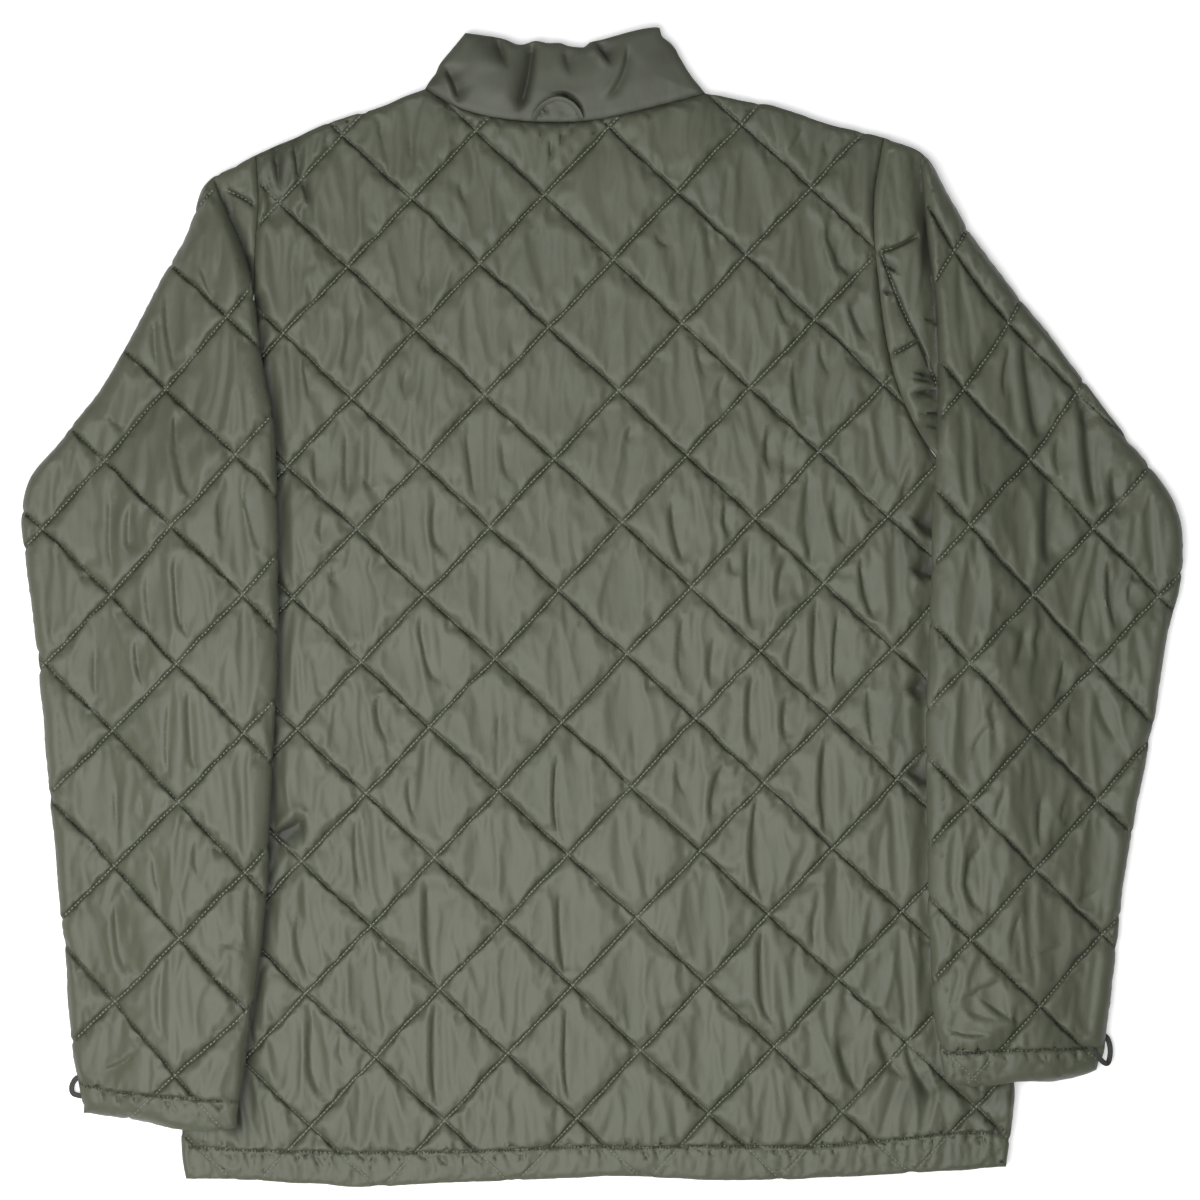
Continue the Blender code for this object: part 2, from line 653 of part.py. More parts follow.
def sleeve_loop(sleeve):
    """The sleeve's outline: along the armhole seam down to the pleat's end, and then out over the back."""
    armhole = ARMHOLE_LEFT if sleeve.side < 0 else ARMHOLE_RIGHT
    seam = curve(armhole)
    pleat_end = sleeve.pleat[-1]
    seam = seam[seam[:, 1] > pleat_end.y + OUTLINE_STEP * 0.7] + (sleeve.side * SEAM_GAP, 0)
    seam = np.vstack([seam, pleat_end])
    outer = np.asarray(sleeve.outer, float)
    outer[0] += (sleeve.side * SEAM_GAP, 0)
    return loop_of(curve(outer), curve(sleeve.cuff), curve(sleeve.inner), seam[::-1])


def under_edge(sleeve):
    """The body's edge under the sleeve: armhole seam below the pleat, then side seam, past the hem."""
    armhole, side = (ARMHOLE_LEFT, SIDE_LEFT) if sleeve.side < 0 else (ARMHOLE_RIGHT, SIDE_RIGHT)
    seam, side_seam = curve(armhole), curve(side)
    start = sleeve.pleat[-1]
    seam = seam[seam[:, 1] < start.y - OUTLINE_STEP / 2]
    return np.vstack([[start], seam, side_seam[1:]])


def build_sleeve(name, sleeve, finish):
    loop = sleeve_loop(sleeve)
    edge = under_edge(sleeve)
    pleat = curve(sleeve.pleat)
    cuff = curve(sleeve.cuff)

    def lift(plan):
        """Height of the sleeve's underside: on the surface outside the body, on the back inside."""
        over = (along_y(edge, plan[:, 1]) - plan[:, 0]) * sleeve.side >= 0
        over &= plan[:, 1] <= sleeve.pleat[-1].y
        distance = np.where(over, 0, to_line(plan, edge))
        return SLEEVE_REST * eased(1 - distance / RISE)

    def outside_pleat(plan):
        """How far each point is outwards of the pleat's edge, beside the cap."""
        return (plan[:, 0] - along_y(pleat, plan[:, 1])) * sleeve.side

    def top(plan):
        thick = quilted(plan, sleeve.lattice, sleeve.folds, plan[:, 1] - along_x(cuff, plan[:, 0]))
        round_edge = rounding(plan, loop)
        low = lift(plan)
        tube = low + PLAIN_THICKNESS + SLOT + thick
        edge_level = low + PLAIN_THICKNESS / 2 + EDGE_THICKNESS
        height = edge_level + (tube - edge_level) * round_edge
        beside = (plan[:, 1] > sleeve.pleat[-1].y) & (outside_pleat(plan) < 0.5)
        cap = BACK_INNER + EDGE_THICKNESS + (thick * CAP_SHARE - EDGE_THICKNESS) * round_edge
        cap = np.maximum(cap, low + PLAIN_THICKNESS + SLOT + EDGE_THICKNESS)
        above = (plan[:, 1] > sleeve.pleat[-1].y) & ~beside
        folded = PLEAT_HEIGHT * np.clip(1 - outside_pleat(plan) / PLEAT_REACH, 0, 1)
        folded *= eased((plan[:, 1] - sleeve.pleat[-1].y) / RISE) * round_edge
        height = np.where(above, height + folded, height)
        return np.where(beside, cap, height)

    def bottom(plan):
        return lift(plan) + PLAIN_THICKNESS / 2 * (1 - rounding(plan, loop, RIM * UNDER_RIM))

    chains, points = quilt_mesh(sleeve.lattice, loop, RIM * POINTS_IN)
    ramps = [edge + (sleeve.side * share * RISE, 0) for share in RAMP_SHARES]
    ramp_lines = [run for ramp in ramps for run in clipped(ramp, loop, 1.0, HIDDEN_STEP)]
    lines = rings(loop) + chains + hem_lines(cuff, loop) + clipped(edge, loop, 1.0)
    for aside in PLEAT_EDGE:
        lines += clipped(pleat + (sleeve.side * aside, 0), loop, 1.0)
    points = np.vstack([points, crease_points(sleeve.folds, loop)])
    under_lines = rings(loop, RIM * UNDER_RIM)[-1:] + ramp_lines
    made = slab(name, loop, top, bottom, finish, lines, points, under_lines)

    hollow = inset(loop, SLEEVE_WALL)
    at_cuff = to_line(hollow, cuff) < SLEEVE_WALL * 1.5
    armhole = curve(ARMHOLE_LEFT if sleeve.side < 0 else ARMHOLE_RIGHT)
    at_seam = to_line(hollow, armhole) < SLEEVE_WALL * 1.5
    at_seam &= hollow[:, 1] > sleeve.pleat[-1].y + SLEEVE_WALL * 2
    hollow[at_cuff] -= (0, SLEEVE_WALL * 2)
    hollow[at_seam] -= (sleeve.side * SLEEVE_WALL * 2, 0)

    def hollow_floor(plan):
        return lift(plan) + PLAIN_THICKNESS

    def hollow_roof(plan):
        return lift(plan) + PLAIN_THICKNESS + SLOT

    hollow_lines = [run for ramp in ramps for run in clipped(ramp, hollow, 1.0, HIDDEN_STEP)]
    cutter = slab(f"{name}_hollow", hollow, hollow_roof, hollow_floor, None, hollow_lines, (), None)
    combine(made, cutter, "DIFFERENCE")
    return made


def build_collar(finish):
    """Stand collar flattened: one layer behind, two front ends under it, joined at the side folds."""
    seam = curve(NECK_BACK) + (0, SEAM_GAP)
    left, right = np.asarray(COLLAR_LEFT, float), np.asarray(COLLAR_RIGHT, float)
    left[0] += (0, SEAM_GAP)
    right[-1] += (0, SEAM_GAP)
    back = loop_of(curve(left), curve(COLLAR_TOP), curve(right), seam[::-1])

    def top(plan):
        crown = 1 - COLLAR_CROWN * (1 - eased(to_line(plan, back, closed=True) / COLLAR_CROWN_REACH))
        thick = COLLAR_THICKNESS * crown - crease(plan, COLLAR_FOLDS)
        return BACK_INNER + EDGE_THICKNESS + (thick - EDGE_THICKNESS) * rounding(plan, back)

    def bottom(plan):
        return np.full(len(plan), BACK_INNER)

    points = np.vstack([spread(back, OUTLINE_STEP, RIM * POINTS_IN), crease_points(COLLAR_FOLDS, back)])
    made = slab("collar", back, top, bottom, finish, rings(back), points)

    for side in (-1, 1):
        front_seam = np.asarray(NECK_FRONT, float) + (0, FRONT_NECK_GAP)
        aside = side * (ZIP_WIDTH / 2 + ZIP_CLEAR)
        fold = left if side < 0 else right[::-1]
        lower = curve(front_seam)
        lower = lower[(lower[:, 0] - FRONT_TOP.x - aside) * side > 3]
        lower = lower if side < 0 else lower[::-1]
        inner_high = np.array((COLLAR_FRONT_TOP.x + aside, COLLAR_FRONT_TOP.y))
        inner_low = np.array((FRONT_TOP.x + aside, FRONT_TOP.y + FRONT_NECK_GAP))
        fold_curve = curve(fold + (side * -0.5, FRONT_NECK_GAP))[:-1]
        end = fold_curve[-1]
        dip = (end[0] + (COLLAR_FRONT_TOP.x - end[0]) * 0.4, (end[1] + COLLAR_FRONT_TOP.y) / 2 - 6)
        upper = curve([end, dip, inner_high])
        loop = loop_of(
            np.vstack([fold_curve, upper[1:], inner_low, lower[::-1][1:-1], fold_curve[:1]]),
        )

        def flat_top(plan, loop=loop):
            return EDGE_THICKNESS + (PLAIN_THICKNESS - EDGE_THICKNESS) * rounding(plan, loop, RIM / 2)

        front = slab(
            f"collar_front_{'left' if side < 0 else 'right'}",
            loop, flat_top, lambda plan: np.zeros(len(plan)), finish, rings(loop, RIM / 2)[-1:],
        )
        combine(made, front, "UNION")

        spine = curve(fold)
        bar = np.vstack([spine + (side * FOLD_OUT, 0), (spine - (side * FOLD_IN, 0))[::-1]])
        bridge = slab(
            f"collar_fold_{'left' if side < 0 else 'right'}",
            loop_of(np.vstack([bar, bar[:1]])),
            lambda plan: np.full(len(plan), BACK_INNER + EDGE_THICKNESS * 0.8),
            lambda plan: np.full(len(plan), FOLD_LOW),
        )
        combine(made, bridge, "UNION")
    return top


def ribbon(name, path, base, finish):
    """A flat tape along a plan path, lying `base` high."""
    middle = curve(path, 2.5)
    heading = np.gradient(middle, axis=0)
    heading /= np.hypot(*heading.T)[:, None]
    aside = np.column_stack([-heading[:, 1], heading[:, 0]]) * LOOP_WIDTH / 2
    levels = base(middle)
    points, faces = [], []
    for point, out, level in zip(middle, aside, levels):
        left, right = point + out, point - out
        points += [
            (*left, level), (*left, level + LOOP_THICKNESS), (*right, level + LOOP_THICKNESS), (*right, level)
        ]
    for k in range(len(middle) - 1):
        here, ahead = 4 * k, 4 * k + 4
        for i in range(4):
            j = (i + 1) % 4
            faces.append((here + i, here + j, ahead + j, ahead + i))
    last = 4 * (len(middle) - 1)
    faces += [(3, 2, 1, 0), (last, last + 1, last + 2, last + 3)]
    return mesh_object(name, points, faces, finish)


def box(name, low, high, finish):
    corners = [(x, y, z) for x in (low[0], high[0]) for y in (low[1], high[1]) for z in (low[2], high[2])]
    faces = [(0, 1, 3, 2), (4, 6, 7, 5), (0, 4, 5, 1), (2, 3, 7, 6), (0, 2, 6, 4), (1, 5, 7, 3)]
    return mesh_object(name, corners, faces, finish)


def build_loops(collar_top, tape):
    ribbon("neck_loop", NECK_LOOP_PATH, lambda plan: collar_top(plan) + LOOP_GAP, tape)
    for name, path in (("cuff_loop_left", CUFF_LOOP_LEFT_PATH), ("cuff_loop_right", CUFF_LOOP_RIGHT_PATH)):
        ribbon(name, path, lambda plan: np.full(len(plan), CUFF_LOOP_Z), tape)


def build_zip(tape, metal):
    """Closed zip between the fronts' edges, and at its top a slider with its pull flat under the chain."""
    waist, collar_end = np.array(FRONT_TOP, float), np.array(COLLAR_FRONT_TOP, float)
    top = collar_end + (waist - collar_end) * (4 + SLIDER_LENGTH) / (collar_end - waist)[1]
    bottom = np.array(FRONT_BOTTOM, float) + (0, 4)
    middle = np.array([bottom, waist, top])
    half = ZIP_WIDTH / 2
    loop = loop_of(
        np.vstack([middle + (half, 0), (middle - (half, 0))[::-1], middle[:1] + (half, 0)]),
    )
    slab(
        "zip", loop, lambda plan: np.full(len(plan), ZIP_UNDER + ZIP_HEIGHT),
        lambda plan: np.full(len(plan), ZIP_UNDER), tape,
    )
    y = top[1]
    x = (top[0] + collar_end[0]) / 2
    slider = box(
        "zip_slider",
        (x - half, y + SEAM_GAP, PULL_Z),
        (x + half, y + SEAM_GAP + SLIDER_LENGTH, ZIP_UNDER + ZIP_HEIGHT),
        metal,
    )
    pull = box(
        "zip_pull",
        (x - PULL_WIDTH / 2, y - PULL_LENGTH, PULL_Z - 0.1),
        (x + PULL_WIDTH / 2, y + SEAM_GAP + SLIDER_LENGTH / 2, PULL_Z + PULL_THICKNESS),
        metal,
    )
    combine(slider, pull, "UNION")


def clear_scene():
    for leftover in list(bpy.data.objects):
        bpy.data.objects.remove(leftover)


def main():
    clear_scene()
    quilted_cloth = material("quilted nylon", QUILTED_COLOUR, 0.6)
    tape = material("tape", TAPE_COLOUR, 0.8)
    metal = material("painted metal", METAL_COLOUR, 0.4, 1.0)
    build_back(quilted_cloth)
    build_front("front_left_panel", -1, quilted_cloth)
    build_front("front_right_panel", 1, quilted_cloth)
    build_sleeve("sleeve_left", LEFT_SLEEVE, quilted_cloth)
    build_sleeve("sleeve_right", RIGHT_SLEEVE, quilted_cloth)
    collar_top = build_collar(quilted_cloth)
    build_loops(collar_top, tape)
    build_zip(tape, metal)


main()
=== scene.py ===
"""Looks of a diamond-quilted jacket that lies flat and face down, with its sleeves at its sides.

Every panel is one closed cloth shell over its plan outline. Its height is made of the quilting's puffs,
listed creases and fine seeded wrinkles, and a short cloth simulation lets the quilted ones buckle.
Tables are in millimetres, in the frame's axes: +X to the right and +Y towards the collar as seen from
above, and z = 0 on the surface it lies on.
"""

import math
from collections import namedtuple

import bpy
import numpy as np
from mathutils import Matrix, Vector
from mathutils.geometry import delaunay_2d_cdt
from mathutils.kdtree import KDTree


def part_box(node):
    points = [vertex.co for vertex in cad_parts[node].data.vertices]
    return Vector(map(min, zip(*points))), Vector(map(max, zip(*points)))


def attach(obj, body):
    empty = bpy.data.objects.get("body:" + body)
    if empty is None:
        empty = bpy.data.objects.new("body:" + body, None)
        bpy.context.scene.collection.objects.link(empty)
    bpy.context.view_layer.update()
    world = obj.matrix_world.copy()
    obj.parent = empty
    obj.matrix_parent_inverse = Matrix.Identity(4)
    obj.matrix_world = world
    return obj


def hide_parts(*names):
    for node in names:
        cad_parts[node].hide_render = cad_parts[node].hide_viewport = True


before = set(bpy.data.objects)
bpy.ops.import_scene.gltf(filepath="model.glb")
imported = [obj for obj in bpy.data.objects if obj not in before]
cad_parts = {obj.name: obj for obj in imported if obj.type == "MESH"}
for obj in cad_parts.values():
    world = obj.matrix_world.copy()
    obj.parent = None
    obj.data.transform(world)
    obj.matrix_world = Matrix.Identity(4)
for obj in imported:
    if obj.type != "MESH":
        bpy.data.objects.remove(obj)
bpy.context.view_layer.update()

MM = 0.001  # metres in a millimetre
Point = namedtuple("Point", "x y")

# ---- cloth ----
SEAM_GAP = 0.4  # between pieces that lie on each other
JOIN_GAP = 0.05  # between pieces that are sewn together, in the plan
PITCH = 63.5  # between neighbouring stitch lines of the quilting
STITCH_THICKNESS = 3.2  # cloth where it is stitched down
PUFF_THICKNESS = 9.4  # cloth in the middle of a diamond
PUFF_RANGE = (0.9, 1.05)  # how unevenly the diamonds are filled
PLAIN_THICKNESS = 5.0  # cloth pressed flat by what lies on it
Slope = namedtuple("Slope", "reach power share")
CREVICE = Slope(1.0, 2.2, 0.38)  # beside a stitch line the cloth first rises almost upright,
SHOULDER = Slope(2.6, 1.3, 0.48)  # then less,
SHOULDER_SPREAD = 7.0  # over a reach that varies this much,
CROWN = Slope(14.0, 1.6, 0.14)  # and then ever more gently
SHOULDER_DARK = 0.16  # painted shade on the cloth at the jacket's shoulders, where it slopes away from the light
SHADE_AT, SHADE_HALF = 1.1, 0.7  # where beside the stitches the cloth's painted shade is darkest,
PAINTED_SHADE_COLOUR = 0.22  # and the share of its dark colour that full painted shade leaves
SLOT = 0.6  # the empty space inside a flattened sleeve
RIM = 10.0  # how far in from a sleeve's edge the cloth rounds over,
BACK_RIM, CAP_RIM, COLLAR_RIM = 7.0, 6.0, 6.0  # and the other pieces,
HIDDEN_RIM = 4.0  # the plain layers under them
PLATE_RIM = 1.2  # and the zip's slider
EDGE_THICKNESS = 2.4
NOTCH = 1.3  # how far a stitch line pulls an edge in
WAVES = ((0.7, 19), (0.35, 8))  # how far an edge waves, over what length
WAVER = ((0.8, 26, 401), (0.22, 7, 403))  # how far the stitch lines stray, over what length, and a seed

# ---- sewing ----
STITCH_PITCH = 2.9
# dark strokes along the topstitching: painted shadows of its puckers
PUCKER_SHADOW_PITCH = 2.0
STITCH_SHARE = 0.66  # of the pitch that the thread shows on top
STITCH_JITTER = 0.12
STITCH_SIDES = 5
PUCKER_SHADOW_STROKE = (0.3, 0.1)  # a painted-shadow stroke's radius, and its height over the cloth
PUCKER_SHADOWS_KEPT = 0.85  # share of the places that have one
LINE_END = 2.2  # how near the outline the stitch lines come
RUN_STEP = 0.04  # between the points of a stitch line, as a share of a diamond
STITCH_STATIONS = ((0.0, 0.3, -0.4), (0.25, 1.0, 0.12), (0.75, 1.0, 0.12), (1.0, 0.3, -0.4))
RISING_STITCH = (0.5, 0.2)  # radius, and height over the groove's floor, on lines that rise to the right
FALLING_STITCH = (0.34, -0.3)  # and on lines that fall to the right, which are pulled in deeper
HEM_STITCH = (0.3, -0.2)
IN_HEM_STITCH = (0.32, -0.1)
CAP_STITCH = (0.38, 0.0)

HEM_PUFF = 0.16  # share of the quilting's relief that is left in a turned-up hem,
HEM_FULLNESS = 0.36  # what the hem has instead,
HEM_GROOVE = 2.8  # and how deep its topstitching lies
TUCK_PITCH = 6.5  # between the small tucks along it
HEM_ROWS = (-2.4, -1.2, 0, 1.2, 2.4)  # rows of points along the topstitching
TUCK_SEED, BACK_SEED = 23, 11

# ---- levels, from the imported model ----
BACK_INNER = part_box("back_panel")[0][2] / MM
BACK_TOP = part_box("back_panel")[1][2] / MM
SLEEVE_REST = BACK_TOP + SEAM_GAP
RISE = 36.0  # over which a sleeve's underside climbs from the surface onto the back
LOFT = 72.0  # over which its upper side slopes down again towards the outer edge
INNER_RIM = 21.0  # how far a sleeve rounds over towards its inner edge
PLEAT_HEIGHT = 5.0  # hidden cloth folded under the sleeve's edge beside the cap
PLEAT_REACH = 70.0
PLEAT_HELD = 2.5  # half the width of the strip beside its edge that the simulation leaves
CAP_THICKNESS = 7.4
PLEAT_ROWS = (0.0, 0.5, 1.4, 2.9, 5.5)  # rows of points on the fold's wall
CAP_ROWS = (0.7, 1.4, 2.6)  # and beside the cap's own stitch lines
CAP_STEP = 2.0
FALL, FALL_REACH = 0.36, 52.0  # share of its thickness the back loses towards the shoulders, and over what,
PRESSED, PRESSED_REACH = 0.4, 7.0  # and where a sleeve's edge lies on it
PLEAT_ROUND = 6.0  # how far in the sleeve's fold over the cap rounds over
CAP_DIP, CAP_DIP_REACH = 4.6, 7.5  # how deep the cap's strip dips beside that fold
SEWN_REACH = 9.0  # how far from the armhole seam the sleeve's underside comes down to the back's level
SLEEVE_WALL = 6.4  # cloth left round a sleeve's hollow, in plan

# ---- the loose face cloth, simulated ----
FULLNESS = 0.010  # share by which it is wider than its wadding in the middle of a panel
FULLER_OUTSIDE = 0.026  # how much more so towards the panel's sides,
FULLER_LOW = 0.5  # and in what proportion more towards its lower end
CLOTH_FRAMES, SQUEEZE_FRAMES = 14, 8
CLOTH = {
    "quality": 3, "mass": 0.05, "use_pressure": True, "uniform_pressure_force": 0.4, "bending_stiffness": 0.2,
    "tension_stiffness": 40.0, "compression_stiffness": 40.0, "shear_stiffness": 40.0 / 3,
    **{f"{kind}_damping": 0.5 for kind in ("tension", "compression", "shear", "bending", "air")},
}
CLOTH_REACH = 4.0  # how far a point may move
HELD_BESIDE, HELD_RIM = 1.0, 3.0  # how near the stitches and the outline it is held
THINNEST = 1.2  # what is left over a hollow or under a fold

# ---- studio ----
LIGHT_SPREAD = math.radians(140)
FLOOR_HALF, FLOOR_GLOW, FLOOR_LEVEL = 6000.0, 0.35, -0.0006  # the last in metres, as are the next two
CAMERA_AT, FRAME_WIDTH = (-0.0014, 0.0044, 3.2), 0.816
LAMPS = (("key", (-0.28, -0.27, 0.95), 1.1, 12.6), ("fill", (0.9, 1.1, 2.4), 2.0, 4.0))  # place, size and power

# ---- mesh ----
ROWS = (0.5, 1.1, 1.9, 3.1)  # rows of points on each side of a stitch line
MIDDLE_STEPS = 21  # along a diamond's side, between those rows
FACE_STEP = Point(2.0, 3.6)  # between the points inside a diamond, finer across its upright wrinkles
CREASE_STEP = 2.6  # along a listed crease
CREASE_ROWS = (-1.3, -0.6, 0.0, 0.6, 1.5)  # beside it, in shares of its wall
UNDER_ROWS = (1.5, 5.0)
UNDER_STEPS = 7
UNDER_STEP = Point(7.0, 7.0)
HOLLOW_STEP = Point(7.0, 9.0)
OUTLINE_STEP = 2.6
COLLAR_STEP = Point(1.2, 1.2)
CURVE_STEPS = 16  # between two of a curve's given points
NOISE_CELLS, NOISE_OFFSET = 64, 1000  # cells until noise repeats, and what keeps their numbers positive
SHARP_ANGLE = math.radians(70)  # edges sharper than this aren't shaded smooth after a cut
TRACE_STEP = 0.8  # along a line that distances are measured from
RIM_SHARES = [1 - math.cos(math.radians(angle)) for angle in (14, 28, 42, 56, 70, 90)]

Fold = namedtuple("Fold", "depth wall tail")
Crease = namedtuple("Crease", "x0 y0 x1 y1 bow peak fold")
Bend = namedtuple("Bend", "y shift")
Lattice = namedtuple("Lattice", "x y across_x across_y down_x down_y fan_x fan_y bends")
Sleeve = namedtuple(
    "Sleeve", "side seed shoulder armhole body_side front_cut cuff_loop outer cuff cuff_seam inner pleat "
    "lattice creases gathers cap_lines gap edge_dark",
)
# painted shadow in the gap beside a sleeve's pleat: where along Y, how dark, and how wide
Gap = namedtuple("Gap", "y dark width")
Cut = namedtuple("Cut", "width length area")


def line(*rows):
    return [Point(*row) for row in rows]


# ---- body: seams and edges as laid flat, each from its first end to its last ----
NECK_BACK = line((-120, 351), (-95, 337), (-65, 330), (-37, 328), (-11, 329), (25, 336), (70, 348))
NECK_FRONT = line((-120, 351), (-85, 308), (-20, 283), (38, 304), (70, 348))
SHOULDER_LEFT = line((-235, 306), (-188, 327), (-152, 338), (-120, 351))
SHOULDER_RIGHT = line((70, 348), (121, 338), (156, 327), (191, 318))
ARMHOLE_LEFT = line(
    (-235, 306), (-233, 276), (-236, 232), (-236, 202), (-237, 168), (-243, 140), (-257, 110), (-279, 79),
)
ARMHOLE_RIGHT = line((191, 318), (184, 274), (188, 212), (195, 168), (204, 140), (220, 110), (245, 79))
SIDE_LEFT = line((-279, 79), (-280, -145), (-285, -366), (-282, -388))
SIDE_RIGHT = line((245, 79), (263, -145), (280, -322), (277, -356), (274, -380))
HEM = line((-282, -388), (-246, -389), (-163, -393), (-109, -391), (0, -387), (112, -389), (274, -380))
HEM_SEAM = line(  # its topstitching
    (-282, -366), (-252, -368), (-212, -369.4), (-172, -370.2), (-110, -369.7), (-61, -368.2), (-12, -365.8),
    (25, -366.7), (51, -365.8), (142, -365.8), (188, -362.3), (215, -359.3), (238, -357.2), (274, -356),
)
FRONT_TOP, FRONT_BOTTOM = Point(-20, 283), Point(0, -387)  # ends of the centre front
COLLAR_FRONT_TOP = Point(-22, 332)

# ---- collar ----
COLLAR_LEFT = line((-120, 351), (-117, 356.3), (-112.7, 361.5), (-110.5, 367.3), (-102.5, 377), (-92.8, 389))
COLLAR_TOP = line(
    (-92.8, 389), (-84, 388), (-75, 386.6), (-66, 384.8), (-57.5, 381.3), (-53, 381.2), (-46, 383.7),
    (-43.5, 383.6), (-38, 382.3), (-28, 382.2), (-23, 380.2), (-11.5, 379.6), (-9.3, 382.2), (2, 385),
    (14, 388.6), (28, 392), (37, 393), (39, 392.6),
)
COLLAR_RIGHT = line((39, 392.6), (41, 386.2), (48.8, 379.6), (51.8, 374), (60, 360.4), (65.5, 353.5), (70, 348))
COLLAR_THICKNESS = 7.5

FRONT_NECK_GAP = 0.9  # the gap at the steep front neckline, measured along Y
FOLD_LOW, FOLD_HIGH = 0.7, 8.7  # lowest and highest level of the collar's rounded side folds
FOLD_HALF = Point(2.4, (FOLD_HIGH - FOLD_LOW) / 2)

# ---- loops and zip ----
NECK_LOOP_PATH = line(
    (-46.5, 330.6), (-44.5, 335), (-39.5, 340.5), (-30, 344), (-21, 341), (-16, 336), (-13.5, 331),
)
CUFF_LOOP_LEFT_PATH = (  # with its levels
    (-352.5, -318.5, 3.2), (-357.4, -320.8, 3.2), (-360, -325.5, 3.2), (-359.6, -330.2, 3.2), (-356, -332, 3.2),
    (-350.5, -332.5, 3.2),
)
CUFF_LOOP_RIGHT_PATH = (
    (339, -290.5, 3.4), (342.6, -292.5, 3.2), (344.8, -298, 3.2), (344.8, -306, 3.4), (343, -310.2, 4.6),
    (340.2, -309.2, 7.2), (335.5, -304, 10.6), (331, -299, 12.4), (329, -296.5, 10.5),
)
LOOP_HALF = 1.8
LOOP_STEP = 1.5
NECK_LOOP_GAP, NECK_LOOP_BULGE = 0.3, 2.2  # above the collar at its ends, and how far its middle stands out
NECK_LOOP_TILT = math.radians(32)  # its outer edge stands up
ZIP_HALF, ZIP_CLEAR = 3.6, 0.6  # from the centre to the front's edge, and from there to the tape
ZIP_LEVELS = (1.4, 2.9)  # the teeth's outer side, and the tape's
ZIP_BOTTOM_GAP, ZIP_TOP_GAP = 4, 4
TOOTH_PITCH, TOOTH_ASIDE = 1.5, 0.8
TOOTH_HALF = (1.5, 0.45, 0.85)
SLIDER, PULL = Point(6.0, 9.0), Point(4.0, 24.0)
SLIDER_LEVELS, PULL_LEVELS = (0.6, 4.8), (0.2, 1.0)
HOLE_HALF, HOLE_UP = Point(1.0, 1.9), 3.2  # the hole in the pull, and how far from its end it is

BACK_LATTICE = Lattice(
    x=-39, y=279.2, across_x=90.1, across_y=2.44, down_x=3.13, down_y=89.42, fan_x=0, fan_y=0,
    bends=(Bend(400, 0), Bend(-400, 0)),
)

# ---- creases: from the upper end to the lower, bow to the right, deepest beside their left wall ----
SOFT = Fold(2.0, 1.8, 10.0)
STRONG = Fold(3.4, 2.0, 13.0)
SHARP = Fold(2.9, 1.3, 8.0)
HEAVY = Fold(4.8, 2.8, 12.0)
POCKET = Fold(8.0, 2.4, 12.0)
GATHER = Fold(4.0, 1.1, 3.2)
TUCK = Fold(2.8, 0.9, 3.0)
PINCH = Fold(5.0, 1.4, 5.0)


def folds(fold, *rows):
    """Creases of one kind. Each row: both ends, then how far it bows to the right and where on its way."""
    rows = [row if len(row) > 4 else (*row, -2.8, 0.6) for row in rows]
    return [Crease(*row[:5], row[5] if len(row) > 5 else 0.5, fold) for row in rows]


# seeded small folds in each diamond: how many, where between the lines a and b they start, down or up from
# there, and the ranges of their length, lean, bow, depth, wall and tail
SmallFold = namedtuple("SmallFold", "count a b way length lean bow depth wall tail")
SMALL_FOLDS = (
    SmallFold((2, 5), (0.08, 0.95), (1, 1), 1, (6, 15), (-25, 12), (-1.5, 1), (0.8, 2.3), (1.0, 1.5), (3, 7)),
    SmallFold((1, 3), (0, 0), (0.1, 0.9), 1, (6, 13), (-10, 30), (-1, 1), (0.3, 1.0), (1.0, 1.4), (3, 6)),
    SmallFold((1, 3), (0.1, 0.9), (0, 0), -1, (6, 14), (-25, 15), (-1, 1), (0.4, 1.0), (1.2, 1.6), (3, 6)),
    SmallFold((1, 4), (1, 1), (0.1, 0.9), -1, (6, 16), (-15, 25), (-2, 1), (0.5, 1.4), (1.0, 1.4), (3, 6)),
    SmallFold(
        (1, 4), (0.1, 0.6), (0.4, 0.9), 1, (18, 40), (-9, 9), (-3.5, 1.5), (0.2, 0.9), (1.3, 2.0), (6, 12),
    ),
)


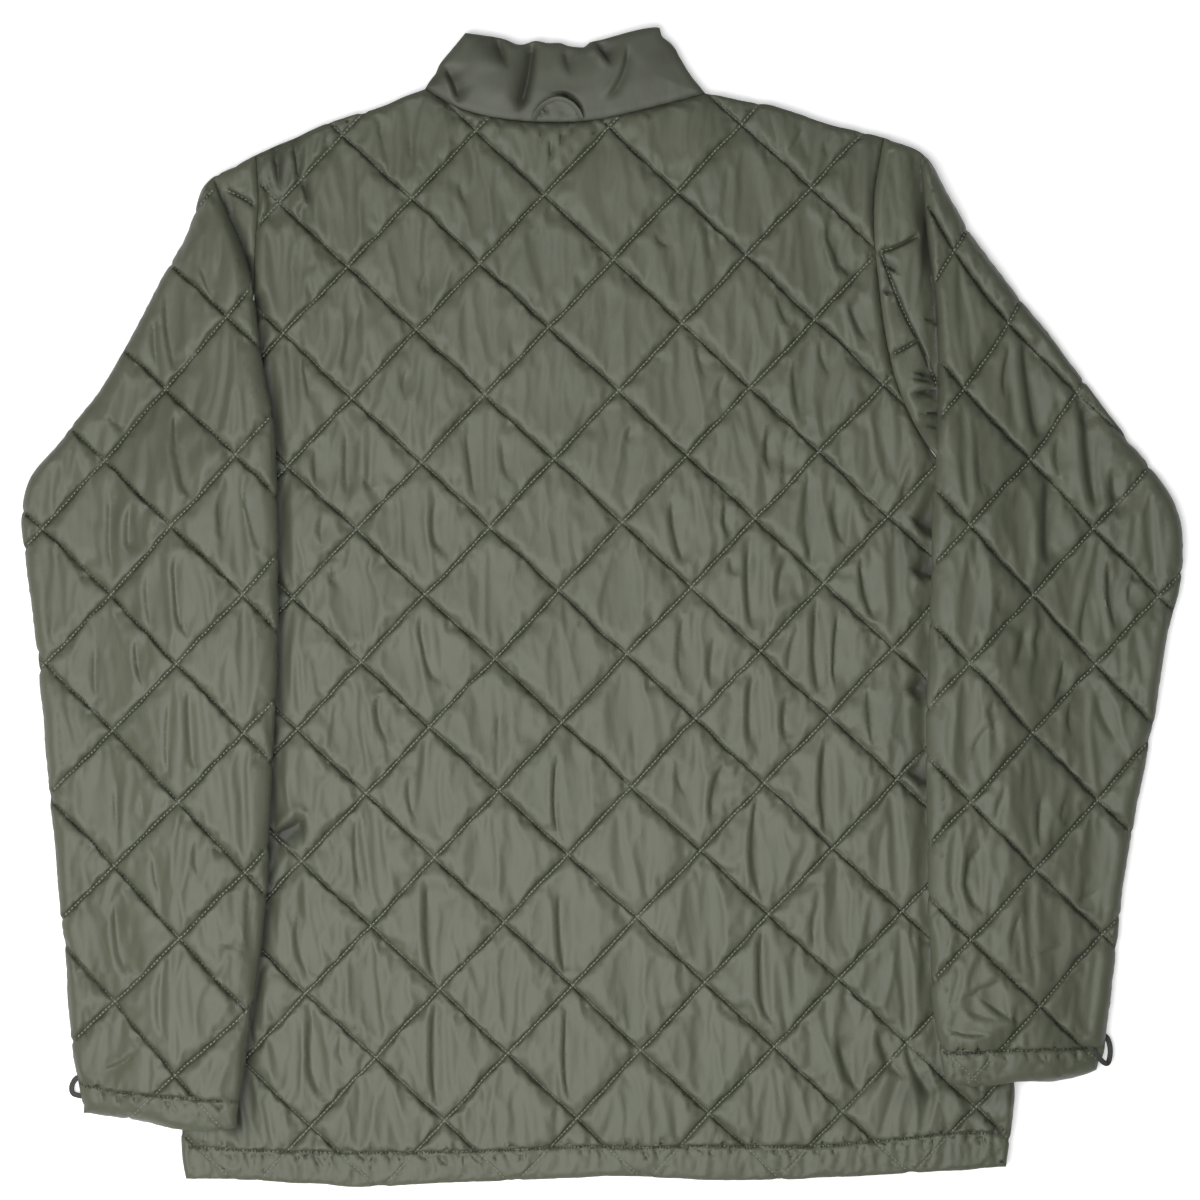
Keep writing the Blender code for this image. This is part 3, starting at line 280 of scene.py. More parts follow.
BACK_CREASES = folds(  # shoulders and shoulder blades
    STRONG, (-199, 279, -205, 255), (-229, 297, -226, 258, 2),
    (136, 328, 124, 304, 2, 0.4), (151, 261, 171, 221, -4, 0.53), (167, 210, 184, 178, -4, 0.6),
) + folds(
    PINCH, (-210.5, 336, -204.5, 281, -1), (-206, 296, -198, 268, 1), (-224.5, 329, -218, 282, -1),
) + folds(
    SOFT, (-129, 322, -126, 299), (-97, 291, -88, 270), (-161, 206, -177, 157, -3, 0.3),
    (-120, 228, -121, 208), (-201, 178, -195, 136), (-131, 163, -133, 140), (151, 320, 156, 304),
    (34, 256, 50, 244, -4), (72, 259, 78, 230), (64, 185, 73, 152), (118, 215, 130, 187), (130, 167, 136, 129),
    (146, 180, 158, 154), (85, 160, 80, 136), (-150, 331, -146, 312), (-186, 322, -180, 300, -4, 0.6),
) + folds(  # tucks below the neck seam
    TUCK, (-28.5, 330, -28.5, 310, 1), (-34.7, 317, -34.7, 300, -0.5), (-5.8, 330, -6, 317, 0.5),
    (-42.8, 330, -41.5, 316, 0.5), (-71.6, 333, -69.5, 321, 0.5), (27, 338, 34, 329, 0),
    (-20, 329, -22, 320, 0), (-90, 336, -92, 322, 0), (12, 333, 12, 324, 0), (-55, 329, -53, 321, 0),
) + folds(  # left side, chest to hem
    STRONG, (-173, 120, -171, 72), (-112, 75, -105, 33, -6.6, 0.64), (-124, -6, -105, -53, -7.2, 0.77),
    (-152, -58, -143, -94, -4, 0.6), (-118, -185, -114, -255), (-112, -266, -112, -338, -3.5),
    (-29, -192, -24, -253), (-195, -274, -186, -335, -8, 0.65),
) + folds(
    SHARP, (-31, -102, -29, -157), (-24, -272, -22, -335),
) + folds(
    SOFT, (-194, 109, -190, 78), (-163, 91, -152, 80, -3), (-188, 66, -188, 40), (-67, 115, -61, 83),
    (-92, 119, -82, 70, -3, 0.7), (-185, 25, -176, 14), (-67, -69, -70, -94), (-131, -113, -125, -145),
    (-166, -142, -163, -192, -4), (-176, -288, -174, -313), (-207, -212, -199, -249),
) + folds(  # right side, chest to hem
    STRONG, (47, 74, 58, 27, -4, 0.6), (113, 122, 115, 91), (99, 42, 103, -18), (124, 35, 121, -1),
    (156, 74, 167, 40, -4, 0.6), (175, 35, 189, -13, -5, 0.6), (146, 5, 148, -62, -4, 0.55), (77, -18, 75, -57),
    (103, -42, 103, -97, -4, 0.6), (126, -57, 126, -94), (83, -106, 75, -149, -4.2, 0.48),
    (153, -91, 153, -157, -5), (106, -126, 110, -202, -6.3, 0.57), (110, -217, 116, -284, -7.7, 0.62),
) + folds(
    SHARP, (84, 74, 87, 45), (161, -4, 159, -55),
) + folds(
    SOFT, (21, 124, 20, 108), (124, 104, 128, 87), (87, 35, 93, 19), (141, 91, 144, 25, -5), (177, 71, 186, 56),
    (131, -16, 128, -47), (56, -4, 54, -52), (180, -54, 186, -98), (50, -106, 59, -130), (143, -202, 147, -235),
) + folds(  # pulled towards the lower right corner, and hollows beside the right sleeve
    HEAVY, (160, -290, 178, -330, -5, 0.6), (186, -283, 208, -322, -5, 0.6), (205, -292, 226, -334, -4, 0.6),
) + folds(
    POCKET, (207, 62, 243, 41, -1), (207, 27, 243, 16, -1), (203, -54, 240, -66, -1),
    (202, -109, 240, -127, -1), (-197, -141, -236, -158, 2),
)
BACK_HOLLOWS = (  # painted shade in soft hollows: x, y, both half widths, and how dark
    (214, -329, 15, 10, 0.4), (274, -331, 9, 6, 0.55), (-236, -338, 7, 15, 0.4), (50, 340, 24, 6, 0.25),
    (-105, 341, 16, 7, 0.25), (-220, 300, 13, 18, 0.28), (-200, 270, 7, 10, 0.25), (205, 35, 10, 20, 0.2),
    (203, -95, 9, 30, 0.18), (-214, -150, 8, 18, 0.2), (-228, 95, 8, 40, 0.2),
)
LEFT_CREASES = folds(
    STRONG, (-296, 223, -288, 157, -2.8, 0.6), (-288, 135, -278, 72, -4.7, 0.56), (-318, 72, -318, 32),
    (-287, 38, -277, -23, -6.5, 0.64), (-279, -55, -270, -113, -5.2, 0.8), (-329, -198, -319, -251, -5, 0.6),
) + folds(
    SHARP, (-315, -19, -309, -55), (-313, -298, -343, -315, 3), (-255, 293, -247, 281, 1),
    (-262, 290, -249, 268, 1), (-268, 284, -262, 270, 1),
    (-264, 291, -254, 286, 1), (-261, 287, -256, 278, 0), (-271, 285, -262, 279, 1),
) + folds(
    SOFT, (-302, 201, -300, 159), (-259, 76, -253, 41), (-240, 77, -228, 34), (-333, 77, -330, 21),
    (-307, 26, -302, -19), (-343, -24, -341, -66), (-292, -62, -291, -118), (-329, -118, -326, -155),
    (-311, -123, -306, -147), (-303, -164, -297, -196), (-273, -157, -270, -184), (-296, -240, -296, -292, -4),
    (-262, -227, -232, -242, 4), (-340, 128, -318, 112, 3), (-275, 232, -262, 196, 3),
)
RIGHT_CREASES = folds(
    HEAVY, (286, 184, 296, 111, -3), (328, 138, 336, 64, -3, 0.6), (303, 90, 303, 26, -3),
    (318, 152, 326, 118, 2), (346, 96, 352, 58, -2),
) + folds(
    STRONG, (284, -12, 277, -43, 2), (261, -157, 260, -210, -15.5, 0.51), (343, 32, 350, -18),
    (240, -270, 276, -279, -2), (252, -262, 288, -283, -2),
) + folds(
    SHARP, (312, -35, 305, -65, 2), (299, -125, 297, -164), (226, -282, 262, -288, -3, 0.4),
) + folds(
    SOFT, (277, 178, 273, 140), (309, 119, 311, 87), (256, 108, 259, 73), (360, 19, 360, -2),
    (271, 13, 271, -8), (298, -8, 296, -36), (318, -63, 320, -89), (335, -55, 352, -94, -4),
    (270, -74, 248, -105, -4), (272, -123, 267, -147), (316, -127, 313, -150), (284, -205, 277, -234),
    (290, -234, 313, -228, 2), (316, -200, 341, -189, 2), (238, -266, 272, -249, 2), (268, -60, 262, -80),
    (330, 10, 326, -28),
)
CAP_GATHERS = folds(  # beside the right sleeve's pleat
    GATHER, (207, 159, 243, 143, 3, 0.4), (206, 154.5, 243, 146, 2), (206, 144, 245, 150, 0),
    (216, 145, 240, 135, 1), (210, 131.6, 243, 132.5, 1), (212, 121, 243, 119, 0.5),
    (189, 236, 203, 225, -1), (187, 216, 200, 212, -1), (214, 196, 240, 190, 0),
)
COLLAR_CREASES = folds(
    Fold(5.4, 5.5, 3.2), (-47, 389, -57, 334, 2.5),
) + folds(
    Fold(4.6, 1.6, 8.0), (-110, 369, -97, 338, 3), (-10, 386, 8, 365, 1.5),
) + folds(
    Fold(4.4, 4.6, 2.2), (-72, 392, -63, 364, -1),
) + folds(
    Fold(2.6, 1.5, 4.5), (17.2, 383, 1.4, 342, 5),
) + folds(
    Fold(2.4, 2.4, 5.0), (-26, 384, -20, 358, -1),
) + folds(
    Fold(2.2, 1.0, 2.0), (-43, 341, -36, 331, 1), (-42, 338, -42, 331, 0), (-26, 336, -25, 331, 0),
) + folds(
    Fold(3.6, 1.3, 1.8), (-36, 348.5, -11.5, 330, 5.5, 0.45),
)

# painted shade in the collar's soft hollows: x, y, both half widths, and how dark
COLLAR_HOLLOWS = (
    (-112, 356, 8, 9, 0.35), (-76, 379, 9, 9, 0.35), (-58, 355, 9, 20, 0.35), (-15, 374, 16, 7, 0.15),
    (46, 374, 12, 7, 0.25), (33, 358, 8, 14, 0.1), (-25, 349, 10, 3, 0.3),
)

# ---- sleeves: the edges of the laid-out tube, top to cuff, and where its pleat lies on the cap ----
LEFT_SLEEVE = Sleeve(
    side=-1, seed=31, shoulder=SHOULDER_LEFT, armhole=ARMHOLE_LEFT, body_side=SIDE_LEFT,
    front_cut=Cut(0.29, 0.70, 0.183), cuff_loop=CUFF_LOOP_LEFT_PATH,
    outer=line(
        (-235, 306), (-253, 297), (-269, 287), (-280, 256), (-303, 215), (-336, 154), (-367, 113),
        (-390, 84), (-394, 62), (-390, 21), (-382, -50), (-377, -111), (-371, -172), (-365, -234),
        (-360, -295), (-352, -344),
    ),
    cuff=line((-352, -344), (-313, -349), (-280, -354), (-247, -353)),
    cuff_seam=line((-356, -323), (-334, -327.7), (-305, -330), (-278, -332.3), (-244, -335)),
    inner=line(
        (-247, -353), (-245, -335), (-235, -266), (-226, -188), (-223, -104), (-219, -16), (-220, 89),
        (-223, 130), (-230, 168), (-235, 208),
    ),
    pleat=line((-264, 291), (-256, 272), (-244, 244), (-239, 229), (-235, 208)),
    lattice=Lattice(
        x=-333, y=7.5, across_x=89.8, across_y=0.7, down_x=0, down_y=91.8, fan_x=0, fan_y=2.0,
        bends=(
            Bend(290, -15), Bend(196, -10), Bend(100, -4.5), Bend(6, 0), Bend(-86, 1.4), Bend(-178, 2.4),
            Bend(-270, 3.5), Bend(-340, -1),
        ),
    ),
    creases=LEFT_CREASES,
    gathers=(),
    cap_lines=(line((-253.5, 282), (-243, 276.8), (-234.8, 271.6)),),
    # gap: painted shadow beside the pleat; edge_dark: painted shade along the inner edge
    gap=(Gap(208, 0.9, 2.6), Gap(235, 1.0, 2.6), Gap(262, 0.8, 3.2), Gap(280, 0.6, 2.4), Gap(292, 0.2, 1.5)),
    edge_dark=0.4,
)
RIGHT_SLEEVE = Sleeve(
    side=1, seed=53, shoulder=SHOULDER_RIGHT, armhole=ARMHOLE_RIGHT, body_side=SIDE_RIGHT,
    front_cut=Cut(0.29, 0.70, 0.179), cuff_loop=CUFF_LOOP_RIGHT_PATH,
    outer=line(
        (191, 318), (218, 307), (231, 287), (248, 256), (279, 215), (311, 174), (341, 134), (373, 93),
        (388, 72), (393.2, 52), (393.2, 21), (384, -19), (379, -50), (368, -111), (356, -172), (349, -234),
        (343, -285), (341, -302), (336, -315),
    ),
    cuff=line((336, -315), (322, -320), (275, -322), (245, -325), (232, -321)),
    cuff_seam=line((227, -301.6), (252, -301), (265, -299.8), (300, -299.4), (330, -299), (343, -298)),
    inner=line(
        (232, -321), (228, -301), (224, -274), (221, -225), (220, -162), (219, -82), (222, -8), (223, 59),
        (226, 104),
    ),
    pleat=line((215, 309), (217, 289), (221, 245), (226, 208), (228, 168), (227, 127), (226, 104)),
    lattice=Lattice(
        x=292, y=7.6, across_x=87.0, across_y=-0.7, down_x=0, down_y=92.5, fan_x=1.2, fan_y=-1.4,
        bends=(
            Bend(290, -24), Bend(240, -24), Bend(196, -17), Bend(150, -9), Bend(103, -2.5), Bend(50, -1),
            Bend(8, -0.5), Bend(-86, -0.5), Bend(-180, 1.5), Bend(-271, 4),
        ),
    ),
    creases=RIGHT_CREASES,
    gathers=CAP_GATHERS,
    cap_lines=(
        line((185.9, 240.1), (200.3, 244.3), (212, 250.8)),
        line((189.5, 238.6), (198.7, 214.1), (206.4, 195.8), (214, 180.5), (221.6, 163.6), (227, 150)),
        line((195.6, 170.5), (204.8, 175.1), (214, 180.5)),
    ),
    # gap: painted shadow beside the pleat; edge_dark: painted shade along the inner edge
    gap=(
        Gap(104, 0.2, 1.4), Gap(130, 0.4, 1.6), Gap(150, 0.6, 2.0), Gap(176, 0.5, 1.6), Gap(192, 0.9, 3.4),
        Gap(205, 0.8, 2.4), Gap(235, 1.0, 5.5), Gap(258, 1.0, 5.0), Gap(285, 0.7, 2.6), Gap(309, 0.2, 1.5),
    ),
    edge_dark=0.12,
)


# ---- curves in the plan ----
def travelled(points):
    """How far along a line each of its points is."""
    return np.concatenate([[0], np.cumsum(np.hypot(*np.diff(points, axis=0).T))])


def resampled(points, step):
    """The same line with points evenly `step` apart, or as near as fits."""
    points = np.asarray(points, float)
    along = travelled(points)
    places = np.linspace(0, along[-1], max(1, round(along[-1] / step)) + 1)
    return np.column_stack([np.interp(places, along, points[:, i]) for i in (0, 1)])


def mix(a, b, start, end, t):
    """From a, where t is at the start, to b at the end."""
    return (end - t) / (end - start) * a + (t - start) / (end - start) * b


def curve(points, step=OUTLINE_STEP):
    """A smooth curve through the points (centripetal Catmull-Rom), evenly divided."""
    points = np.asarray(points, float)
    if len(points) < 3:
        return resampled(points, step)
    ends = np.vstack([2 * points[0] - points[1], points, 2 * points[-1] - points[-2]])
    fine = []
    for p0, p1, p2, p3 in zip(ends, ends[1:], ends[2:], ends[3:]):
        t1 = math.sqrt(np.hypot(*(p1 - p0)))
        t2 = t1 + math.sqrt(np.hypot(*(p2 - p1)))
        t3 = t2 + math.sqrt(np.hypot(*(p3 - p2)))
        for t in np.linspace(t1, t2, CURVE_STEPS, endpoint=False):
            a1, a2, a3 = mix(p0, p1, 0, t1, t), mix(p1, p2, t1, t2, t), mix(p2, p3, t2, t3, t)
            fine.append(mix(mix(a1, a2, 0, t2, t), mix(a2, a3, t1, t3, t), t1, t2, t))
    return resampled([*fine, points[-1]], step)


def loop_of(*curves):
    """Curves joined end to end into one closed outline, anticlockwise."""
    loop = np.vstack([part[:-1] for part in curves])
    x, y = loop.T
    area = np.sum(x * np.roll(y, -1) - y * np.roll(x, -1))
    return loop if area > 0 else loop[::-1]


def inward(loop):
    """Unit vectors into the outline, one at each of its points."""
    ahead = np.roll(loop, -1, axis=0) - np.roll(loop, 1, axis=0)
    ahead /= np.hypot(*ahead.T)[:, None]
    return np.column_stack([-ahead[:, 1], ahead[:, 0]])


def nearest(points, others):
    """The number of the nearest of the others to each point, and its distance."""
    tree = KDTree(len(others))
    for i, (x, y) in enumerate(others):
        tree.insert((x, y, 0), i)
    tree.balance()
    found = [tree.find((x, y, 0)) for x, y in points]
    return np.array([number for _, number, _ in found], int), np.array([distance for _, _, distance in found])


def inside(points, loop):
    """Distance of each point from the outline, negative outside it."""
    fine = resampled(np.vstack([loop, loop[:1]]), TRACE_STEP)[:-1]
    number, distance = nearest(points, fine)
    side = np.sum((points - fine[number]) * inward(fine)[number], axis=1)
    return np.where(side >= 0, distance, -distance)


def away(points, path):
    """Distance of each point from an open line."""
    return nearest(points, resampled(path, TRACE_STEP))[1]


def along_x(path, x):
    """y of a line at each x, for a line that runs mostly along X."""
    points = np.asarray(path, float)
    return np.interp(x, *points[np.argsort(points[:, 0])].T)


def along_y(path, y):
    """x of a line at each y, for a line that runs mostly along Y."""
    return along_x(np.asarray(path, float)[:, ::-1], y)


def above(seam):
    """A function that says how far above a seam each plan point is."""
    return lambda plan: plan[:, 1] - along_x(seam, plan[:, 0])


def grid(low, high, step, stagger=True):
    """Points of an even grid over a box, each second row half a step aside."""
    x, y = np.meshgrid(np.arange(low[0], high[0], step.x), np.arange(low[1], high[1], step.y))
    x = x + np.where(np.arange(len(x)) % 2, step.x / 2 * stagger, 0)[:, None]
    return np.column_stack([x.ravel(), y.ravel()])


def eased(share):
    """0 to 1 with level ends."""
    share = np.clip(share, 0, 1)
    return share * share * (3 - 2 * share)


def noise(points, size_x, size_y, seed):
    """Smooth noise from -1 to 1, with features of about the given sizes."""
    table = np.random.default_rng(seed).uniform(-1, 1, (NOISE_CELLS, NOISE_CELLS))
    u, v = points[:, 0] / size_x + NOISE_OFFSET, points[:, 1] / size_y + NOISE_OFFSET
    i, j = np.floor(u).astype(int), np.floor(v).astype(int)
    s, t = eased(u - i), eased(v - j)
    i0, i1, j0, j1 = (cell % NOISE_CELLS for cell in (i, i + 1, j, j + 1))
    low = table[i0, j0] * (1 - s) + table[i1, j0] * s
    high = table[i0, j1] * (1 - s) + table[i1, j1] * s
    return low * (1 - t) + high * t


# ---- quilting ----
def crossing(lattice, a, b):
    """Plan position of the point where stitch lines a and b cross."""
    across, down = (a + b) / 2, (a - b) / 2
    y = lattice.y + across * lattice.across_y - down * (lattice.down_y + lattice.fan_y * across)
    bends = lattice.bends[::-1]
    shift = np.interp(y, [bend.y for bend in bends], [bend.shift for bend in bends])
    x = lattice.x + across * lattice.across_x + down * lattice.down_x + shift * (1 + lattice.fan_x * across)
    points = np.column_stack([np.atleast_1d(x), np.atleast_1d(y)])
    waver = [sum(far * noise(points, size, size, seed + axis) for far, size, seed in WAVER) for axis in (0, 1)]
    return points + np.column_stack(waver)


def line_numbers(lattice, points):
    """Stitch-line numbers (a, b) at each plan position: the inverse of crossing, by iteration."""
    a, b = np.zeros(len(points)), np.zeros(len(points))
    for _ in range(12):
        miss = points - crossing(lattice, a, b)
        across, down = miss[:, 0] / lattice.across_x, -miss[:, 1] / lattice.down_y
        a, b = a + across + down, b + across - down
    return a, b


def number_range(lattice, loop):
    """The lowest and highest of the numbers a that the outline needs, and of the numbers b."""
    return [(math.floor(numbers.min()), math.ceil(numbers.max())) for numbers in line_numbers(lattice, loop)]


def graded(low, high, rows, steps):
    """Line numbers from low to high: rows beside each whole number, and even steps between them."""
    near = np.array((0, *rows)) / PITCH
    middle = np.linspace(near[-1], 1 - near[-1], steps + 1)[1:-1]
    share = np.concatenate([near, middle, 1 - near[:0:-1]])
    return np.concatenate([k + share for k in range(low, high)] + [[high]])


def axes(crease):
    """A crease's start and end, its length, and unit vectors along it and to its right."""
    start, end = np.array((crease.x0, crease.y0), float), np.array((crease.x1, crease.y1), float)
    length = np.hypot(*(end - start))
    along = (end - start) / length
    right = np.array((-along[1], along[0]))
    return start, end, length, along, -right if right[0] < 0 else right


def bowed(crease, share):
    """How far to the right the crease is at a share of its length."""
    peak = crease.peak
    from_peak = np.where(share < peak, (peak - share) / peak, (share - peak) / (1 - peak))
    return crease.bow * (1 - from_peak ** 2)


def crease_points(creases):
    """Points along each crease in rows that follow its bow, closest together at its steep wall."""
    made = [np.empty((0, 2))]
    for crease in creases:
        start, end, length, _, right = axes(crease)
        share = np.linspace(0, 1, max(3, round(length / CREASE_STEP)))
        for aside in CREASE_ROWS:
            out = bowed(crease, share) + aside * crease.fold.wall
            made.append(start + share[:, None] * (end - start) + out[:, None] * right)
    return np.vstack(made)


def apart(points, others, distance):
    """The points that lie at least `distance` from all the others."""
    return points[nearest(points, others)[1] >= distance] if len(others) and len(points) else points


def nowhere(plan):
    return np.zeros(len(plan), bool)


def quilt_mesh(lattice, loop, keep_off, rows=ROWS, steps=MIDDLE_STEPS, face_step=FACE_STEP, creases=(),
               line_off=None, bare=nowhere):
    """The stitch lines as chains of points, and the points of the diamonds, all clear of the rim.

    `bare` is true at plan points where these stitch lines don't run.
    """
    fine = [graded(*ends, rows, steps) for ends in number_range(lattice, loop)]
    numbers = np.array([part.ravel() for part in np.meshgrid(*fine)])
    numbers = numbers[:, np.abs(numbers - np.round(numbers)).min(axis=0) * PITCH < rows[-1] + 0.01]
    points = crossing(lattice, *numbers)
    low, high = loop.min(axis=0), loop.max(axis=0)
    kept = np.all((points > low) & (points < high), axis=1)
    points, numbers = points[kept], numbers[:, kept]
    kept = (inside(points, loop) > (keep_off if line_off is None else line_off)) & ~bare(points)
    points, numbers = points[kept], numbers[:, kept]
    on_line = np.abs(numbers - np.round(numbers)) < 1e-9
    chains = []
    for on, number, along in zip(on_line, np.round(numbers), numbers[::-1]):
        for value in np.unique(number[on]):
            members = np.flatnonzero(on & (number == value))
            members = members[np.argsort(along[members])]
            cuts = np.flatnonzero(np.diff(along[members]) > 1.2 / steps) + 1
            chains += [points[run] for run in np.split(members, cuts) if len(run) > 1]
    creased = crease_points(creases)
    face = np.vstack([creased, apart(grid(low, high, face_step), creased, 0.5 * face_step.x)])
    off = np.min([np.abs(number - np.round(number)) for number in line_numbers(lattice, face)], axis=0) * PITCH
    face = face[(off > rows[-1] + 0.45 * face_step.x) | bare(face)]
    return chains, np.vstack([points[~on_line.any(axis=0)], face[inside(face, loop) > keep_off]])


def rise(distance, shoulder):
    """0 on a stitch line, towards 1 away from it. `shoulder` is how far its softer slope reaches."""
    slopes = (CREVICE, SHOULDER._replace(reach=shoulder), CROWN)
    return sum(slope.share * (1 - np.exp(-((distance / slope.reach) ** slope.power))) for slope in slopes)


def quilting(lattice, points, seed):
    """The puffs' relief from 0 to about 1, and each point's signed distances to the lines a and b."""
    a, b = line_numbers(lattice, points)
    off_a, off_b = (a - np.round(a)) * PITCH, (b - np.round(b)) * PITCH
    dome = 1.0
    for off, salt in ((off_a, 1), (off_b, 2)):
        uneven = noise(points, 11, 11, 100 + salt + 10 * (seed % 7)) + 0.3 * noise(points, 5, 5, 200 + salt)
        dome = dome * rise(np.abs(off), SHOULDER.reach + SHOULDER_SPREAD * np.clip(uneven, 0, 1))
    table = np.random.default_rng(seed).uniform(*PUFF_RANGE, (NOISE_CELLS, NOISE_CELLS))
    diamond = tuple(np.floor(number).astype(int) % NOISE_CELLS for number in (a, b))
    return dome * table[diamond], off_a, off_b


def small_creases(lattice, loop, seed):
    """The seeded small folds of every diamond."""
    draw = np.random.default_rng(seed)

    def pick(low, high):
        return low if low == high else draw.uniform(low, high)

    made = []
    a_range, b_range = number_range(lattice, loop)
    for a in range(*a_range):
        for b in range(*b_range):
            for kind in SMALL_FOLDS:
                for _ in range(draw.integers(*kind.count)):
                    start = crossing(lattice, a + pick(*kind.a), b + pick(*kind.b))[0]
                    length, lean, bow, *fold = (pick(*ends) for ends in kind[4:])
                    lean = math.radians(lean)
                    reach = np.array((math.sin(lean), -math.cos(lean))) * (length * kind.way)
                    made.append(Crease(*start, *(start + reach), bow, 0.55, Fold(*fold)))
    return made


def hem_tucks(seam, seed):
    """Seeded small tucks along a topstitched seam, most of them below it and leaning to the right."""
    draw = np.random.default_rng(seed)
    made = []
    for x, y in resampled(seam, TUCK_PITCH)[1:-1]:
        below = draw.random() < 0.7
        length = draw.uniform(4, 10) if below else draw.uniform(3, 6)
        x += draw.uniform(-2.5, 2.5)
        lean = draw.normal(0.45, 0.45) if below else draw.normal(0.1, 0.3)
        fold = Fold(draw.uniform(2.0, 5.5), draw.uniform(0.7, 1.0), draw.uniform(2.0, 3.4))
        end = (x + lean * length, y - length if below else y + length)
        made.append(Crease(x, y - 0.5, *end, draw.uniform(-0.8, 0.8), 0.5, fold))
    return made


def crease_relief(points, creases):
    """How far the creases press the cloth down (positive) or lift it (negative)."""
    relief = np.zeros(len(points))
    for crease in creases:
        start, end, length, along, right = axes(crease)
        depth, wall, tail = crease.fold
        reach = 2.5 * (wall + tail) + abs(crease.bow)
        low, high = np.minimum(start, end) - reach, np.maximum(start, end) + reach
        near = np.flatnonzero(np.all((points > low) & (points < high), axis=1))
        if not len(near):
            continue
        local = points[near] - start
        share = np.clip(local @ along / length, -0.1, 1.1)
        side = local @ right - bowed(crease, share)
        taper = min(12.0, 0.48 * length)
        fade = eased(share * length / taper) * eased((1 - share) * length / taper)
        width = np.where(side < 0, wall, tail) * (0.55 + 0.45 * fade)
        trough = np.exp(-np.abs(side / width) ** 1.5)
        lip = 0.3 * np.exp(-(((side + 2.4 * wall) / (1.8 * wall)) ** 2))
        relief[near] += depth * fade * (trough - lip)
    return relief


def wrinkles(points, off, seed):
    """Fine relief of the loose face cloth: upright streaks, and puckers beside the stitch lines."""
    patch = eased(0.5 + 0.9 * noise(points, 90, 110, seed))
    lean = points + np.column_stack([noise(points, 60, 50, seed + 1) * 9, np.zeros(len(points))])
    streak = noise(lean, 6.5, 40, seed + 2)
    fold = -1.0 * np.clip(streak - 0.2, 0, 1) + 0.4 * np.clip(-streak - 0.3, 0, 1)
    soft = 0.45 * noise(lean, 15, 50, seed + 3) + 0.12 * noise(lean, 3.6, 16, seed + 5)
    pucker = noise(lean, 3.6, 12, seed + 4) * np.exp(-off / 5) * (1 - np.exp(-off / 0.9))
    return (fold * patch + soft) * (1 - np.exp(-off / 5)) + 0.6 * pucker


def cloth_thickness(points, lattice, creases, hem_distance, seed):
    """Thickness of quilted cloth with all its relief, and the flatter turned-up hem with its groove.

    `hem_distance` is counted upwards from the hem's topstitching.
    """
    dome, off_a, off_b = quilting(lattice, points, seed)
    off = np.minimum(np.abs(off_a), np.abs(off_b))
    in_hem = eased(0.5 - hem_distance / 3)
    dome = dome * (1 - in_hem * (1 - HEM_PUFF)) + in_hem * HEM_FULLNESS
    thick = STITCH_THICKNESS + (PUFF_THICKNESS - STITCH_THICKNESS) * dome
    free = 1 - np.exp(-((off / 1.6) ** 2))
    thick = thick - crease_relief(points, creases) * free * (1 - 0.5 * in_hem)
    thick = thick + wrinkles(points, off, seed) * (1 - 0.6 * in_hem)
    to_hem_line = np.abs(hem_distance)
    thick = thick + 0.9 * (noise(points, 3.6, 22, seed + 7) * np.exp(-to_hem_line / 7))
    uneven = 1 + 0.45 * noise(points, 9, 40, seed + 8)
    thick = thick - HEM_GROOVE * uneven * np.exp(-((to_hem_line / 1.1) ** 1.4))
    return np.maximum(thick, STITCH_THICKNESS * 0.6)


# ---- meshes ----
def triangulated(loop, lines, points):
    """Triangles inside the outline that keep every line as edges.

    Gives the plan points, the triangles, and for each point the numbers of the given points it stands for.
    """
    verts = [Vector(p) for p in loop]
    edges = []
    for chain in lines:
        edges += [(len(verts) + i, len(verts) + i + 1) for i in range(len(chain) - 1)]
        verts += [Vector(p) for p in chain]
    verts += [Vector(p) for p in points]
    outline = [list(range(len(loop)))]
    plan, _, faces, origin, _, owners = delaunay_2d_cdt(verts, edges, outline, 0, 0.02, True)
    plan = np.array([tuple(v) for v in plan])
    triangles = np.array([face for face, owner in zip(faces, owners) if owner])
    a, b, c = (plan[triangles[:, i]] for i in range(3))
    first, second = b - a, c - a
    turned = first[:, 0] * second[:, 1] - first[:, 1] * second[:, 0] < 0
    triangles[turned] = triangles[turned][:, ::-1]
    return plan, triangles, origin


def boundary(triangles):
    """The outline of a triangulation as one ring of point numbers."""
    steps = np.concatenate([triangles[:, [0, 1]], triangles[:, [1, 2]], triangles[:, [2, 0]]])
    known = set(map(tuple, steps.tolist()))
    following = {a: b for a, b in known if (b, a) not in known}
    ring = [next(iter(following))]
    while following[ring[-1]] != ring[0]:
        ring.append(following[ring[-1]])
    return ring


def rings(loop, rim=RIM, shares=RIM_SHARES):
    """Closed lines inside the outline, on which the cloth rounds over."""
    closed = []
    for share in shares:
        ring = loop + inward(loop) * share * rim
        ring = ring[inside(ring, loop) > share * rim * 0.8]
        closed.append(np.vstack([ring, ring[:1]]))
    return closed


def rounding(distance, rim=RIM):
    """0 on the outline, rising like a quarter circle to 1 at `rim` inside it."""
    return np.sqrt(np.clip(1 - (1 - np.clip(distance / rim, 0, 1)) ** 2, 0, 1))


def edged(base, thick, distance, rim):
    """The level of cloth that lies on `base` and thins towards its edge."""
    return base + EDGE_THICKNESS + (thick - EDGE_THICKNESS) * rounding(distance, rim)


def flat(level):
    """A height function that is the same everywhere."""
    return lambda plan, distance: np.full(len(plan), level)


def thin_edge(plan, distance):
    """The height of a plain hidden layer on the surface."""
    return edged(0, PLAIN_THICKNESS, distance, HIDDEN_RIM)


